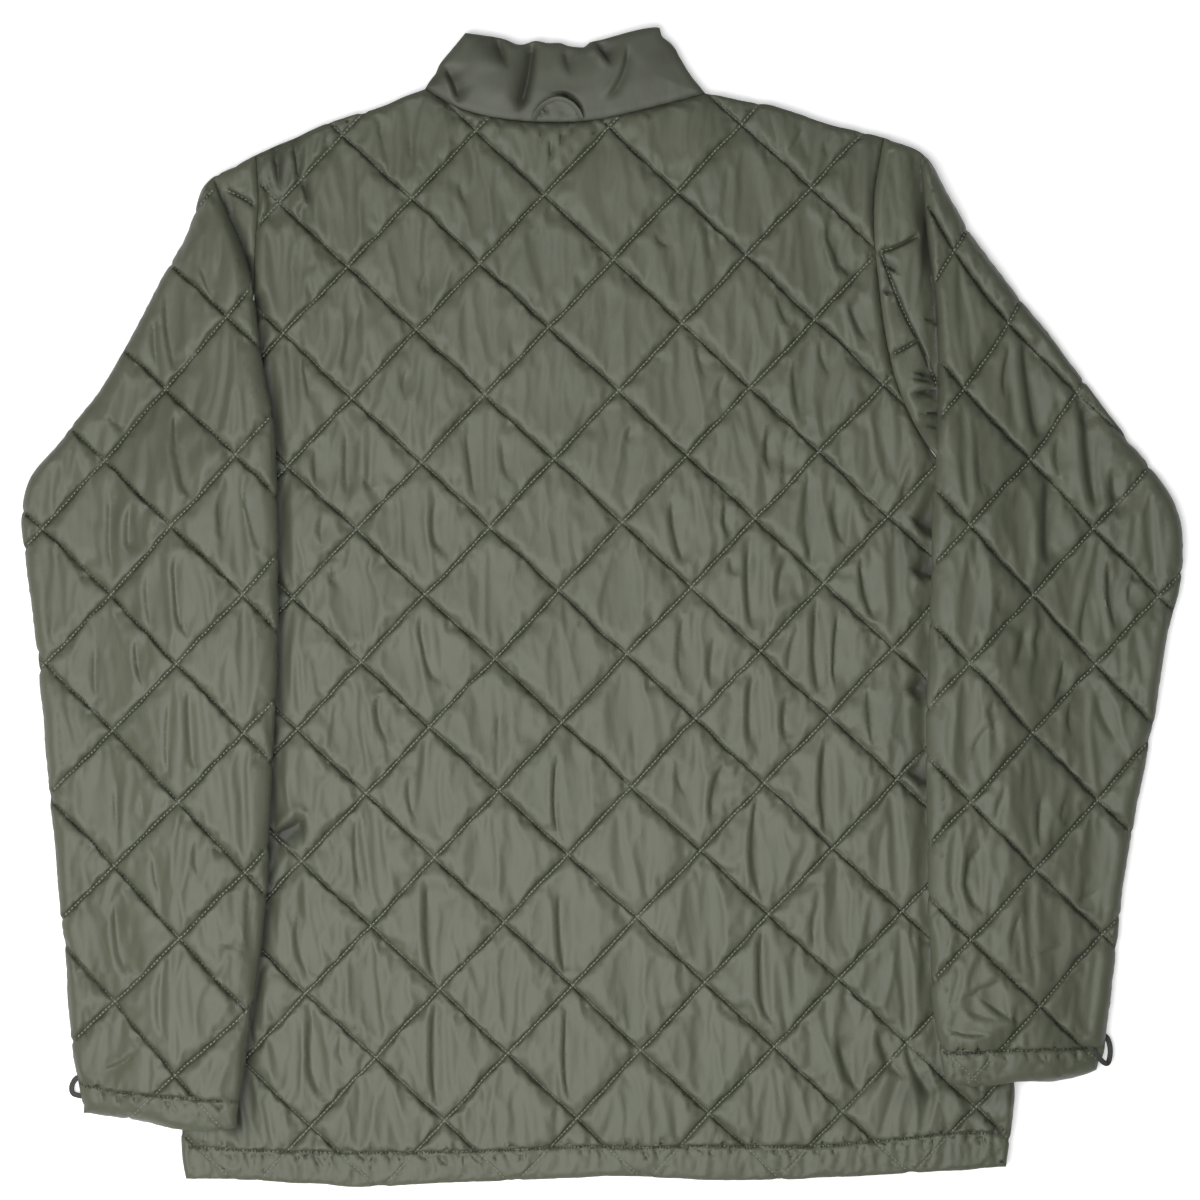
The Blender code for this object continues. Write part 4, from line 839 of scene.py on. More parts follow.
def mesh_object(name, points, faces, finish, smooth=True, shade=None):
    """A mesh of its own object; `shade` gives each point's painted shade, 0 to 1."""
    mesh = bpy.data.meshes.new(name)
    mesh.from_pydata((np.asarray(points) * MM).tolist(), [], faces)
    mesh.update()
    if finish:
        mesh.materials.append(finish)
    # the painted shade is kept as a point attribute, which darkens the nylon's colour
    if shade is not None:
        mesh.attributes.new("painted_shade", "FLOAT", "POINT").data.foreach_set("value", shade)
    if smooth:
        mesh.shade_smooth()
    made = bpy.data.objects.new(name, mesh)
    bpy.context.scene.collection.objects.link(made)
    return made


def raised(plan, triangles, loop, height, first=0):
    """The plan points in use at their heights, and the numbers that all the points get, from `first` on."""
    used = np.unique(triangles)
    numbers = np.zeros(len(plan), int)
    numbers[used] = np.arange(len(used)) + first
    return np.column_stack([plan[used], height(plan[used], inside(plan[used], loop))]), numbers


def shell(name, loop, top, bottom, finish, top_mesh=((), ()), bottom_mesh=((), ()), shade=None):
    """A closed shell over a plan outline, between two height functions.

    Each mesh is (lines, points) to be kept. The height functions take plan points and their distance
    inside the outline.
    """
    plan, triangles, _ = triangulated(loop, *top_mesh)
    ring = boundary(triangles)
    under_plan, under, origin = triangulated(plan[ring], *bottom_mesh)
    upper, numbers = raised(plan, triangles, loop, top)
    lower, under_numbers = raised(under_plan, under, loop, bottom, len(upper))
    below = {source: i for i, sources in enumerate(origin) for source in sources if source < len(ring)}
    edge, edge_below = numbers[ring], under_numbers[[below[i] for i in range(len(ring))]]
    faces = numbers[triangles].tolist() + under_numbers[under[:, ::-1]].tolist()
    faces += np.column_stack([edge_below, np.roll(edge_below, -1), np.roll(edge, -1), edge]).tolist()
    points = np.vstack([upper, lower])
    return mesh_object(name, points, faces, finish, shade=None if shade is None else shade(points[:, :2]))


def tube_faces(stations, around):
    """The faces of a closed tube whose points go round it, station after station."""
    faces = []
    for start in range(0, (stations - 1) * around, around):
        for i in range(around):
            j = (i + 1) % around
            faces.append((start + i, start + j, start + around + j, start + around + i))
    last = (stations - 1) * around
    return faces + [tuple(range(around))[::-1], tuple(range(last, last + around))]


def swept(name, middle, profile, finish):
    """A closed bar along a path, of one (aside, up) profile."""
    heading = np.gradient(middle, axis=0)
    aside = np.column_stack([-heading[:, 1], heading[:, 0], np.zeros(len(middle))])
    aside /= np.linalg.norm(aside, axis=1)[:, None]
    up = np.cross(heading / np.linalg.norm(heading, axis=1)[:, None], aside)
    points = np.vstack([m + np.outer([p[0] for p in profile], a) + np.outer([p[1] for p in profile], u)
                        for m, a, u in zip(middle, aside, up)])
    faces = [face[::-1] for face in tube_faces(len(middle), len(profile))]
    return mesh_object(name, points, faces, finish)


def rounded(half_x, half_y, corner, x=0.0, y=0.0, corner_points=4):
    """A rectangle with round corners about (x, y), anticlockwise."""
    points = []
    for turn, (across, up) in enumerate(((1, 1), (-1, 1), (-1, -1), (1, -1))):
        for angle in np.linspace(0, 90, corner_points):
            bearing = math.radians(angle + 90 * turn)
            points.append((
                x + across * (half_x - corner) + corner * math.cos(bearing),
                y + up * (half_y - corner) + corner * math.sin(bearing),
            ))
    return points


def plate(name, x, y, half_x, half_y, levels, finish, soft=0.0):
    """An oval plate between two levels, whose edges are rounded over by `soft`."""
    points = rounded(half_x, half_y, 0.9 * min(half_x, half_y), x, y, 6)
    loop = loop_of(np.vstack([points, points[:1]]))
    mesh = (rings(loop, PLATE_RIM, (0.3, 1.0)), ()) if soft else ((), ())
    return shell(
        name, loop, lambda plan, distance: levels[1] - soft * (1 - rounding(distance, PLATE_RIM)),
        lambda plan, distance: levels[0] + soft * (1 - rounding(distance, PLATE_RIM)), finish, mesh, mesh,
    )


def positions(mesh, kind="co"):
    """The mesh's points, or their normals, as an array."""
    values = np.empty(3 * len(mesh.vertices))
    mesh.vertices.foreach_get(kind, values)
    return values.reshape(-1, 3)


def spread_out(points):
    """The points' x stretched about their middle, more so towards both sides and the lower end."""
    low, high = points.min(axis=0), points.max(axis=0)
    middle, half = (low + high) / 2, (high - low) / 2
    aside, _, _ = ((points - middle) / half).T
    lowness = np.clip((middle[1] - points[:, 1]) / half[1], 0, 1)
    fullness = (FULLNESS + FULLER_OUTSIDE / 2 * np.abs(aside)) * (1 + FULLER_LOW * lowness)
    return middle[0] + half[0] * aside * (1 + fullness)


def crumple(piece, held, lowest, highest):
    """Lets the loose cloth between its held points buckle, by a cloth simulation.

    The cloth starts a little wider than the wadding, and its held points are squeezed to their places.
    `held` is true at the points that stay. `lowest` and `highest` are the levels it keeps between.
    """
    mesh = piece.data
    laid_out = positions(mesh)
    wide = laid_out.copy()
    wide[:, 0] = spread_out(laid_out)
    mesh.vertices.foreach_set("co", wide.ravel())
    mesh.update()
    piece.shape_key_add(name="wide")
    squeezed = piece.shape_key_add(name="squeezed")
    squeezed.data.foreach_set("co", laid_out.ravel())
    for frame_number, value in ((1, 0.0), (SQUEEZE_FRAMES, 1.0)):
        squeezed.value = value
        squeezed.keyframe_insert("value", frame=frame_number)
    group = piece.vertex_groups.new(name="held")
    group.add(np.flatnonzero(held).tolist(), 1.0, "REPLACE")
    cloth = piece.modifiers.new("cloth", "CLOTH")
    cloth.point_cache.frame_end = CLOTH_FRAMES + 1
    cloth.collision_settings.use_collision = False
    cloth.settings.vertex_group_mass = group.name
    cloth.settings.effector_weights.gravity = 0
    for setting, value in CLOTH.items():
        setattr(cloth.settings, setting, value)
    for frame_number in range(1, CLOTH_FRAMES + 1):
        bpy.context.scene.frame_set(frame_number)
    settled = positions(piece.evaluated_get(bpy.context.evaluated_depsgraph_get()).data)
    piece.modifiers.remove(cloth)
    squeezing = mesh.shape_keys.animation_data.action
    piece.shape_key_clear()
    bpy.data.actions.remove(squeezing)
    piece.vertex_groups.clear()
    bpy.context.scene.frame_set(1)
    after = laid_out + np.clip(settled - laid_out, -CLOTH_REACH * MM, CLOTH_REACH * MM)
    level = laid_out[:, 2]
    after[:, 2] = np.clip(after[:, 2], np.minimum(level, lowest * MM), np.maximum(level, highest * MM))
    after[held] = laid_out[held]
    mesh.vertices.foreach_set("co", after.ravel())
    mesh.update()


def quilt_held(piece, lattice, loop, hem_distance):
    """True at a panel's points that the simulation leaves: stitches, topstitching, outline and underside."""
    plan = positions(piece.data)[:, :2] / MM
    _, off_a, off_b = quilting(lattice, plan, 0)
    held = np.minimum(np.abs(off_a), np.abs(off_b)) < HELD_BESIDE
    held |= np.abs(hem_distance(plan)) < HELD_BESIDE
    held |= inside(plan, loop) < HELD_RIM
    return held | (positions(piece.data, "normal")[:, 2] < 0.2)


def combine(target, other, operation):
    """Cuts the other piece from the target, or joins it on, and removes it."""
    cut = target.modifiers.new("combine", "BOOLEAN")
    cut.operation, cut.object, cut.solver = operation, other, "EXACT"
    shaped = bpy.data.meshes.new_from_object(target.evaluated_get(bpy.context.evaluated_depsgraph_get()))
    target.modifiers.clear()
    target.data = shaped
    shaped.set_sharp_from_angle(angle=SHARP_ANGLE)
    bpy.data.objects.remove(other)


def stitch_shade(lattice, hem_distance):
    """A function that gives the painted shade beside the stitches and along the hem's topstitching at each plan
    point, 0 to 1.
    """

    def shade(plan):
        _, off_a, off_b = quilting(lattice, plan, 0)
        above_hem = eased(hem_distance(plan) / 3 + 0.5)
        uneven = 0.55 + 0.45 * noise(plan, 3.2, 3.2, 301)
        width = SHADE_HALF * (1 + 0.35 * noise(plan, 5, 5, 302))
        beside_a = 0.75 * np.exp(-(((np.abs(off_a) - SHADE_AT) / width) ** 2))
        beside_b = np.exp(-(((off_b + 0.5) / (1.9 * width)) ** 2))
        beside_hem = 0.95 * np.exp(-((hem_distance(plan) / 0.8) ** 2))
        quilted = np.maximum(beside_a, beside_b) * (0.45 + 0.55 * above_hem)
        return np.clip(np.maximum(quilted, beside_hem) * uneven, 0, 1)

    return shade


def hollows(plan, places):
    """How much painted shade the cloth gets in its soft hollows, at each plan point."""
    dark = np.zeros(len(plan))
    for x, y, half_x, half_y, much in places:
        dark += much * np.exp(-(((plan[:, 0] - x) / half_x) ** 2) - (((plan[:, 1] - y) / half_y) ** 2))
    return dark


def notched(loop, lattice, *seams):
    """The outline, wavy, and pulled in a little where a stitch line reaches it, but straight at its seams."""
    dome, _, _ = quilting(lattice, loop, 0)
    pull = NOTCH * (1 - np.clip(dome / 0.5, 0, 1))
    pull += sum(much * noise(loop, size, size, 501) for much, size in WAVES)
    for seam in seams:
        pull = pull * eased(away(loop, curve(seam)) / 8 - 0.2)
    return loop + inward(loop) * pull[:, None]


def seam_rows(seam, loop):
    """Lines beside a topstitched seam, for its groove."""
    rows = [seam + (0, aside) for aside in HEM_ROWS]
    return [row[inside(row, loop) > RIM] for row in rows]


# ---- finishes ----
def fill(tree, node, inputs):
    """Gives each named input a value, or links it to the socket given for it."""
    for name, value in inputs.items():
        if isinstance(value, bpy.types.NodeSocket):
            tree.links.new(value, node.inputs[name])
        else:
            node.inputs[name].default_value = value


def add_node(tree, kind, inputs, **settings):
    node = tree.nodes.new("ShaderNode" + kind)
    for setting, value in settings.items():
        setattr(node, setting, value)
    fill(tree, node, inputs)
    return node


def noise_node(tree, source, scale, detail=2.0, stretch=None):
    if stretch:
        source = add_node(tree, "Mapping", {"Vector": source, "Scale": stretch}).outputs["Vector"]
    return add_node(tree, "TexNoise", {"Vector": source, "Scale": scale, "Detail": detail}).outputs["Fac"]


def ramp(tree, source, *stops):
    """The colour for a value, between two (position, colour) stops."""
    node = add_node(tree, "ValToRGB", {"Fac": source})
    for element, (position, colour) in zip(node.color_ramp.elements, stops):
        element.position, element.color = position, colour
    return node.outputs["Color"]


def bump(tree, height, strength, distance, **below):
    inputs = {"Strength": strength, "Distance": distance, "Height": height, **below}
    return add_node(tree, "Bump", inputs).outputs["Normal"]


def material(name):
    """A new material, its node tree, its shader, and the place on the object as a socket."""
    made = bpy.data.materials.new(name)
    made.use_nodes = True
    tree = made.node_tree
    return made, tree, tree.nodes["Principled BSDF"], add_node(tree, "TexCoord", {}).outputs["Object"]


def shaded(colour, share):
    return (*(min(1, part * share) for part in colour[:3]), 1)


def nylon(name, dark, light, roughness):
    """Fine plain-woven nylon: slightly uneven colour, soft satin gloss, weave and crumple in the bump, and
    painted shade from a point attribute that darkens its colour.
    """
    made, tree, shader, place = material(name)
    blotch = noise_node(tree, place, 18.0, 3.0)
    yarn = noise_node(tree, place, 60.0, 2.0, (30.0, 1.0, 1.0))
    blend = add_node(tree, "Math", {0: yarn, 1: 0.35, 2: blotch}, operation="MULTIPLY_ADD").outputs[0]
    # painted shade: the point attribute mixes the colour towards a darker copy of the cloth's dark colour
    painted_shade = add_node(tree, "Attribute", {}, attribute_name="painted_shade").outputs["Fac"]
    colours = {0: painted_shade, 6: ramp(tree, blend, (0.35, dark), (0.95, light)), 7: shaded(dark, PAINTED_SHADE_COLOUR)}
    rough = {"Value": blotch, "To Min": roughness - 0.05, "To Max": roughness + 0.05}
    yarns = [
        add_node(tree, "TexWave", {"Vector": place, "Scale": 600.0}, bands_direction=axis).outputs["Fac"]
        for axis in "XY"
    ]
    weave = add_node(tree, "Math", dict(enumerate(yarns)), operation="MULTIPLY").outputs[0]
    woven = bump(tree, weave, 0.25, 0.00006)
    fill(tree, shader, {
        "Base Color": add_node(tree, "Mix", colours, data_type="RGBA").outputs[2],
        "Roughness": add_node(tree, "MapRange", rough).outputs["Result"],
        "Sheen Weight": 0.05,
        "Sheen Roughness": 0.4,
        "Specular IOR Level": 0.3,
        "Normal": bump(tree, noise_node(tree, place, 140.0, 3.0, (1.0, 0.35, 1.0)), 0.5, 0.0006, Normal=woven),
    })
    return made


def plain(name, colour, roughness, metallic=0.0):
    """One colour with a fine grain."""
    made, tree, shader, place = material(name)
    grain = noise_node(tree, place, 700.0)
    fill(tree, shader, {
        "Base Color": ramp(tree, grain, (0, shaded(colour, 0.85)), (1, shaded(colour, 1.15))),
        "Roughness": roughness,
        "Metallic": metallic,
        "Normal": bump(tree, grain, 0.3, 0.0001),
    })
    return made


# ---- panels ----
def build_back(finish):
    loop = loop_of(
        curve(SHOULDER_LEFT), curve(NECK_BACK), curve(SHOULDER_RIGHT), curve(ARMHOLE_RIGHT),
        curve(SIDE_RIGHT), curve(HEM)[::-1], curve(SIDE_LEFT)[::-1], curve(ARMHOLE_LEFT)[::-1],
    )
    loop = notched(loop, BACK_LATTICE, ARMHOLE_LEFT, ARMHOLE_RIGHT, NECK_BACK)
    hem_seam = curve(HEM_SEAM)
    hem_distance = above(hem_seam)
    tucks = hem_tucks(hem_seam, TUCK_SEED)
    creases = BACK_CREASES + small_creases(BACK_LATTICE, loop, BACK_SEED + 1) + tucks

    def to_shoulders(plan):
        return np.minimum(*(away(plan, curve(seam)) for seam in (SHOULDER_LEFT, SHOULDER_RIGHT)))

    def to_sleeves(plan):
        return [away(plan, curve(sleeve.inner)) for sleeve in (LEFT_SLEEVE, RIGHT_SLEEVE)]

    def top(plan, distance):
        thick = cloth_thickness(plan, BACK_LATTICE, creases, hem_distance(plan), BACK_SEED)
        thick = thick * (1 - FALL * (1 - eased(to_shoulders(plan) / FALL_REACH)))
        thick = thick * (1 - PRESSED * np.exp(-((np.minimum(*to_sleeves(plan)) / PRESSED_REACH) ** 2)))
        return edged(BACK_INNER, thick, distance, BACK_RIM)

    chains, points = quilt_mesh(BACK_LATTICE, loop, RIM * 0.8, creases=BACK_CREASES + tucks, line_off=LINE_END)
    mesh = (rings(loop, BACK_RIM) + chains + seam_rows(hem_seam, loop), points)
    quilt_shade = stitch_shade(BACK_LATTICE, hem_distance)
    # folds whose troughs also get painted shade
    pockets = [crease for crease in BACK_CREASES if crease.fold in (POCKET, TUCK, PINCH)]

    def shade(plan):
        """Painted shade: as on the stitch lines, in pockets and hollows, beside the sleeves and at the
        shoulders, and a painted shadow of the left sleeve.
        """
        dark = np.clip(crease_relief(plan, pockets) / 9, 0, 0.7) ** 1.4
        left, right = to_sleeves(plan)
        soft = 0.28 * np.exp(-((left / 9) ** 2)) + 0.16 * np.exp(-((right / 5) ** 2))
        soft += hollows(plan, BACK_HOLLOWS) + SHOULDER_DARK * np.exp(-to_shoulders(plan) / 14)
        # a near-black painted shadow of the left sleeve beside its inner edge
        gap = 0.9 * np.exp(-((left / 2.8) ** 2))
        return np.clip(np.maximum(np.maximum(quilt_shade(plan), dark), gap) + soft * (1 - gap), 0, 1)

    made = shell("back_shell", loop, top, flat(BACK_INNER), finish, mesh, shade=shade)
    crumple(made, quilt_held(made, BACK_LATTICE, loop, hem_distance), BACK_INNER + THINNEST, BACK_TOP)
    return made, loop, top


def sleeve_loop(sleeve):
    """The sleeve's outline: along the armhole seam down to the pleat's end, and then out over the back."""
    seam = curve(sleeve.armhole)
    end_y = sleeve.pleat[-1].y
    seam_end = (along_y(seam, end_y), end_y)
    seam = np.vstack([seam[seam[:, 1] > end_y + OUTLINE_STEP * 0.7], seam_end]) + (sleeve.side * JOIN_GAP, 0)
    outer = np.asarray(sleeve.outer, float)
    outer[0] += (sleeve.side * JOIN_GAP, 0)
    return loop_of(curve(outer), curve(sleeve.cuff), curve(sleeve.inner), seam[::-1])


def under_edge(sleeve):
    """The body's edge under the sleeve: armhole seam below the pleat, then side seam, past the hem."""
    seam, start = curve(sleeve.armhole), sleeve.pleat[-1]
    return np.vstack([[start], seam[seam[:, 1] < start.y - OUTLINE_STEP / 2], curve(sleeve.body_side)[1:]])


def build_sleeve(name, sleeve, finish):
    side, pleat_end, seed = sleeve.side, sleeve.pleat[-1].y, sleeve.seed
    loop = notched(sleeve_loop(sleeve), sleeve.lattice, sleeve.armhole)
    edge, pleat, cuff_seam = under_edge(sleeve), curve(sleeve.pleat), curve(sleeve.cuff_seam)
    hem_distance = above(cuff_seam)
    tucks = hem_tucks(cuff_seam, seed)
    creases = sleeve.creases + small_creases(sleeve.lattice, loop, seed + 1) + tucks

    def lift(plan, reach=RISE):
        """How far the body lifts the sleeve: not at all well outside it, and fully on the back."""
        over = ((along_y(edge, plan[:, 1]) - plan[:, 0]) * side >= 0) & (plan[:, 1] <= pleat_end)
        return SLEEVE_REST * eased(1 - np.where(over, 0, away(plan, edge)) / reach)

    def aside_of(plan):
        """Distance from the pleat's edge along X: negative on the cap's strip."""
        return (plan[:, 0] - along_y(pleat, plan[:, 1])) * side

    def on_cap(plan, margin=0.0):
        return (plan[:, 1] > pleat_end) & (aside_of(plan) < margin)

    def hidden(plan):
        return on_cap(plan, 1.5)

    def cap_off(plan):
        return np.min([away(plan, curve(path)) for path in sleeve.cap_lines], axis=0)

    def cap_thickness(plan):
        off = cap_off(plan)
        thick = STITCH_THICKNESS + (CAP_THICKNESS - STITCH_THICKNESS) * rise(off, SHOULDER.reach)
        thick = thick - crease_relief(plan, sleeve.gathers) + 0.6 * wrinkles(plan, off, seed)
        return np.maximum(thick, THINNEST)

    def top(plan, distance):
        thick = cloth_thickness(plan, sleeve.lattice, creases, hem_distance(plan), seed)
        low, loft = lift(plan), lift(plan, LOFT)
        inner = eased((along_y(sleeve.outer[1:], plan[:, 1]) - plan[:, 0]) * side / 60 - 0.6)
        round_edge = rounding(distance, RIM + (INNER_RIM - RIM) * inner)
        tube = loft + PLAIN_THICKNESS + SLOT + thick
        edge_level = low + PLAIN_THICKNESS / 2 + EDGE_THICKNESS
        height = edge_level + (tube - edge_level) * round_edge
        aside = aside_of(plan)
        cap = edged(BACK_INNER, cap_thickness(plan), distance, CAP_RIM)
        cap = cap - CAP_DIP * np.exp(-((aside / CAP_DIP_REACH) ** 2)) * rounding(distance, CAP_RIM)
        cap = np.maximum(cap, low + PLAIN_THICKNESS + SLOT + EDGE_THICKNESS)
        folded = PLEAT_HEIGHT * np.clip(1 - aside / PLEAT_REACH, 0, 1)
        folded *= eased((plan[:, 1] - pleat_end) / RISE) * round_edge
        turned = cap + (height + folded - cap) * rounding(aside, PLEAT_ROUND if side > 0 else 2 * PLEAT_ROUND)
        return np.where(on_cap(plan), cap, np.where(plan[:, 1] > pleat_end, turned, height))

    def bottom(plan, distance):
        """Its own level, and along the armhole seam the back's, where the two are sewn together."""
        low = lift(plan) + PLAIN_THICKNESS / 2 * (1 - rounding(distance, 5.0))
        sewn = eased(1 - away(plan, curve(sleeve.armhole)) / SEWN_REACH)
        sewn = sewn * eased((plan[:, 1] - pleat_end - 0.5) / 4)
        return low + np.minimum(BACK_INNER - low, 0) * sewn

    chains, points = quilt_mesh(
        sleeve.lattice, loop, RIM * 1.05, creases=[*sleeve.creases, *sleeve.gathers, *tucks], line_off=LINE_END,
        bare=hidden,
    )
    cap_lines, cap_points = cap_mesh(sleeve, loop)
    points = np.vstack([cap_points, apart(points, np.vstack(cap_lines + [cap_points]), 0.9)])
    lines = rings(loop) + chains + cap_lines + seam_rows(cuff_seam, loop)
    below = quilt_mesh(sleeve.lattice, loop, RIM, UNDER_ROWS, UNDER_STEPS, UNDER_STEP)
    under = (rings(loop, 5.0, (0.3, 1.0)) + below[0], below[1])
    quilt_shade = stitch_shade(sleeve.lattice, hem_distance)

    def shade(plan):
        """Painted shade: as on the stitch lines and the cap's own lines, in the cap's gathers and at the inner
        edge, and a painted shadow in the gap beside the pleat.
        """
        y, dark, width = (np.array(part, float) for part in zip(*sleeve.gap))
        aside = aside_of(plan)
        gap = np.interp(plan[:, 1], y, dark) * np.exp(-(((aside + 0.5) / np.interp(plan[:, 1], y, width)) ** 2))
        gap = np.where(plan[:, 1] > pleat_end, gap * np.where(aside > 0, np.exp(-aside / 0.5), 1), 0)
        gathered = np.clip(crease_relief(plan, sleeve.gathers) / GATHER.depth, 0, 1) ** 1.5 * on_cap(plan)
        lines = np.where(hidden(plan), 0.7 * np.exp(-(((cap_off(plan) - 0.9) / 0.7) ** 2)), quilt_shade(plan))
        at_edge = sleeve.edge_dark * np.exp(-away(plan, curve(sleeve.inner)) / 7)
        return np.clip(np.maximum(np.maximum(lines, gathered), gap) + at_edge, 0, 1)

    made = shell(name, loop, top, bottom, finish, (lines, points), under, shade)
    plan = positions(made.data)[:, :2] / MM
    held = quilt_held(made, sleeve.lattice, loop, hem_distance)
    held |= (np.abs(aside_of(plan) - PLEAT_HELD) < PLEAT_HELD) & (plan[:, 1] > pleat_end)
    hollow = lift(plan) + PLAIN_THICKNESS + SLOT
    crumple(made, held, hollow + THINNEST, hollow + PUFF_THICKNESS + PLEAT_HEIGHT + 1)
    combine(made, sleeve_hollow(sleeve, loop, lift), "DIFFERENCE")
    return made, loop, top, hidden


def cap_mesh(sleeve, loop):
    """Lines along the pleat's wall and the cap's own stitch lines, and rows of points beside those."""
    pleat = curve(sleeve.pleat, CAP_STEP)
    rows = [pleat + (sleeve.side * aside, 0) for aside in PLEAT_ROWS]
    lines, points = [row[inside(row, loop) > 2.5] for row in rows], []
    for path in sleeve.cap_lines:
        path = curve(path, CAP_STEP)
        lines.append(path[inside(path, loop) > LINE_END])
        heading = np.gradient(path, axis=0)
        across = np.column_stack([-heading[:, 1], heading[:, 0]]) / np.hypot(*heading.T)[:, None]
        for aside in CAP_ROWS:
            points += [path + aside * across, path - aside * across]
    points = np.vstack(points)
    return lines, points[inside(points, loop) > 4.0]


def sleeve_hollow(sleeve, loop, lift):
    """The flattened hollow between the sleeve's two layers, open at the cuff and at the armhole."""
    hollow = loop + inward(loop) * SLEEVE_WALL
    hollow = hollow[inside(hollow, loop) > SLEEVE_WALL * 0.9]
    hollow = resampled(np.vstack([hollow, hollow[:1]]), HOLLOW_STEP.x)[:-1]
    at_cuff = away(hollow, curve(sleeve.cuff)) < SLEEVE_WALL * 1.5
    at_seam = away(hollow, curve(sleeve.armhole)) < SLEEVE_WALL * 1.5
    at_seam &= hollow[:, 1] > sleeve.pleat[-1].y + SLEEVE_WALL * 2
    hollow[at_cuff] -= (0, SLEEVE_WALL * 2)
    hollow[at_seam] -= (sleeve.side * SLEEVE_WALL * 2, 0)
    points = grid(hollow.min(axis=0), hollow.max(axis=0), HOLLOW_STEP, stagger=False)
    points = points[inside(points, hollow) > HOLLOW_STEP.x / 2]

    def roof(plan, distance):
        return lift(plan) + PLAIN_THICKNESS + SLOT

    def ground(plan, distance):
        return lift(plan) + PLAIN_THICKNESS

    return shell("hollow", hollow, roof, ground, None, ((), points), ((), points))


def build_collar(finish):
    seam = curve(NECK_BACK) + (0, JOIN_GAP)
    left, right = np.asarray(COLLAR_LEFT, float), np.asarray(COLLAR_RIGHT, float)
    left[0] += (0, JOIN_GAP)
    right[-1] += (0, JOIN_GAP)
    loop = loop_of(curve(left), curve(COLLAR_TOP), curve(right), seam[::-1])

    def top(plan, distance):
        crown = 0.72 + 0.28 * eased(distance / 22)
        thick = COLLAR_THICKNESS * crown - crease_relief(plan, COLLAR_CREASES)
        thick = thick + 0.6 * noise(plan, 22, 34, 91) + 0.14 * noise(plan, 9, 20, 92)
        thick = thick + 0.8 * noise(plan, 4.5, 30, 93) * np.exp(-(above(seam)(plan) / 5))
        return edged(BACK_INNER, thick, distance, COLLAR_RIM)

    creased = crease_points(COLLAR_CREASES)
    points = apart(grid(loop.min(axis=0), loop.max(axis=0), COLLAR_STEP), creased, COLLAR_STEP.x / 2)
    points = np.vstack([creased, points])
    points = points[inside(points, loop) > 6.6]

    def shade(plan):
        """Painted shade in the folds, at the neck seam and in soft hollows towards both ends."""
        folded = 0.55 * np.clip(crease_relief(plan, COLLAR_CREASES) / 4.5, 0, 1) ** 1.2
        sewn = 0.5 * np.exp(-(away(plan, seam) / 1.5))
        return np.clip(folded + sewn + hollows(plan, COLLAR_HOLLOWS), 0, 1)

    mesh = (rings(loop, COLLAR_RIM), points)
    made = shell("collar_shell", loop, top, flat(BACK_INNER), finish, mesh, shade=shade)
    for side, fold in ((-1, left), (1, right[::-1])):
        combine(made, collar_front(side, fold, finish), "UNION")
        combine(made, collar_fold(side, fold, finish), "UNION")
    return made, loop, top


def collar_front(side, fold, finish):
    """One front end of the collar, under its back layer, from the side fold to the zip."""
    aside = side * ZIP_HALF
    seam = curve(NECK_FRONT) + (0, FRONT_NECK_GAP)
    seam = seam[(seam[:, 0] - FRONT_TOP.x - aside) * side > 3]
    seam = seam if side < 0 else seam[::-1]
    high = np.array((COLLAR_FRONT_TOP.x + aside, COLLAR_FRONT_TOP.y))
    low = np.array((FRONT_TOP.x + aside, FRONT_TOP.y + FRONT_NECK_GAP))
    spine = curve(fold + (side * -0.5, FRONT_NECK_GAP))[:-1]
    dip = (spine[-1][0] * 0.6 + COLLAR_FRONT_TOP.x * 0.4, (spine[-1][1] + COLLAR_FRONT_TOP.y) / 2 - 6)
    loop = loop_of(np.vstack([spine, curve([spine[-1], dip, high])[1:], low, seam[::-1][1:-1], spine[:1]]))

    def bottom(plan, distance):
        return 1.2 * (1 - rounding(distance, HIDDEN_RIM)) * (distance < HIDDEN_RIM)

    mesh = (rings(loop, HIDDEN_RIM), ())
    return shell("collar_front", loop, thin_edge, bottom, finish, mesh, mesh)


def collar_fold(side, fold, finish):
    """The rounded fold at the collar's end, which joins the back layer to the front one."""
    spine = curve(fold)[1:-1] - (side * FOLD_HALF.x * 1.1, 0)
    middle = np.column_stack([spine, np.full(len(spine), (FOLD_LOW + FOLD_HIGH) / 2)])
    bearings = np.linspace(0, 2 * math.pi, 16, endpoint=False)
    profile = [(FOLD_HALF.x * math.cos(bearing), FOLD_HALF.y * math.sin(bearing)) for bearing in bearings]
    return swept("collar_fold", middle, profile, finish)


def build_front(name, sleeve, finish):
    """One front, plain side up under the back; its outer face lies on the surface."""
    side, aside = sleeve.side, sleeve.side * ZIP_HALF
    high_end, low_end = FRONT_TOP.x + aside, FRONT_BOTTOM.x + aside
    hem, neck = curve(HEM), curve(NECK_FRONT)
    half_hem = hem[(hem[:, 0] - low_end) * side > OUTLINE_STEP / 2][::-side]
    half_neck = neck[(neck[:, 0] - high_end) * side > OUTLINE_STEP / 2][::side]
    corner_low, corner_high = (low_end, along_x(hem, low_end)), (high_end, along_x(neck, high_end))
    shoulder = curve(sleeve.shoulder)[::side]
    loop = loop_of(
        np.vstack([corner_high, half_neck]), shoulder, curve(sleeve.armhole), curve(sleeve.body_side),
        np.vstack([half_hem, corner_low]), resampled([corner_low, corner_high], OUTLINE_STEP),
    )

    def bottom(plan, distance):
        dome, _, _ = quilting(BACK_LATTICE, plan, 5)
        return 1.6 * (1 - np.clip(dome / 0.8, 0, 1)) * rounding(distance, HIDDEN_RIM)

    chains, points = quilt_mesh(BACK_LATTICE, loop, 4.2, UNDER_ROWS, UNDER_STEPS, UNDER_STEP)
    edges = rings(loop, HIDDEN_RIM)
    return shell(name, loop, thin_edge, bottom, finish, (edges, ()), (edges + chains, points))


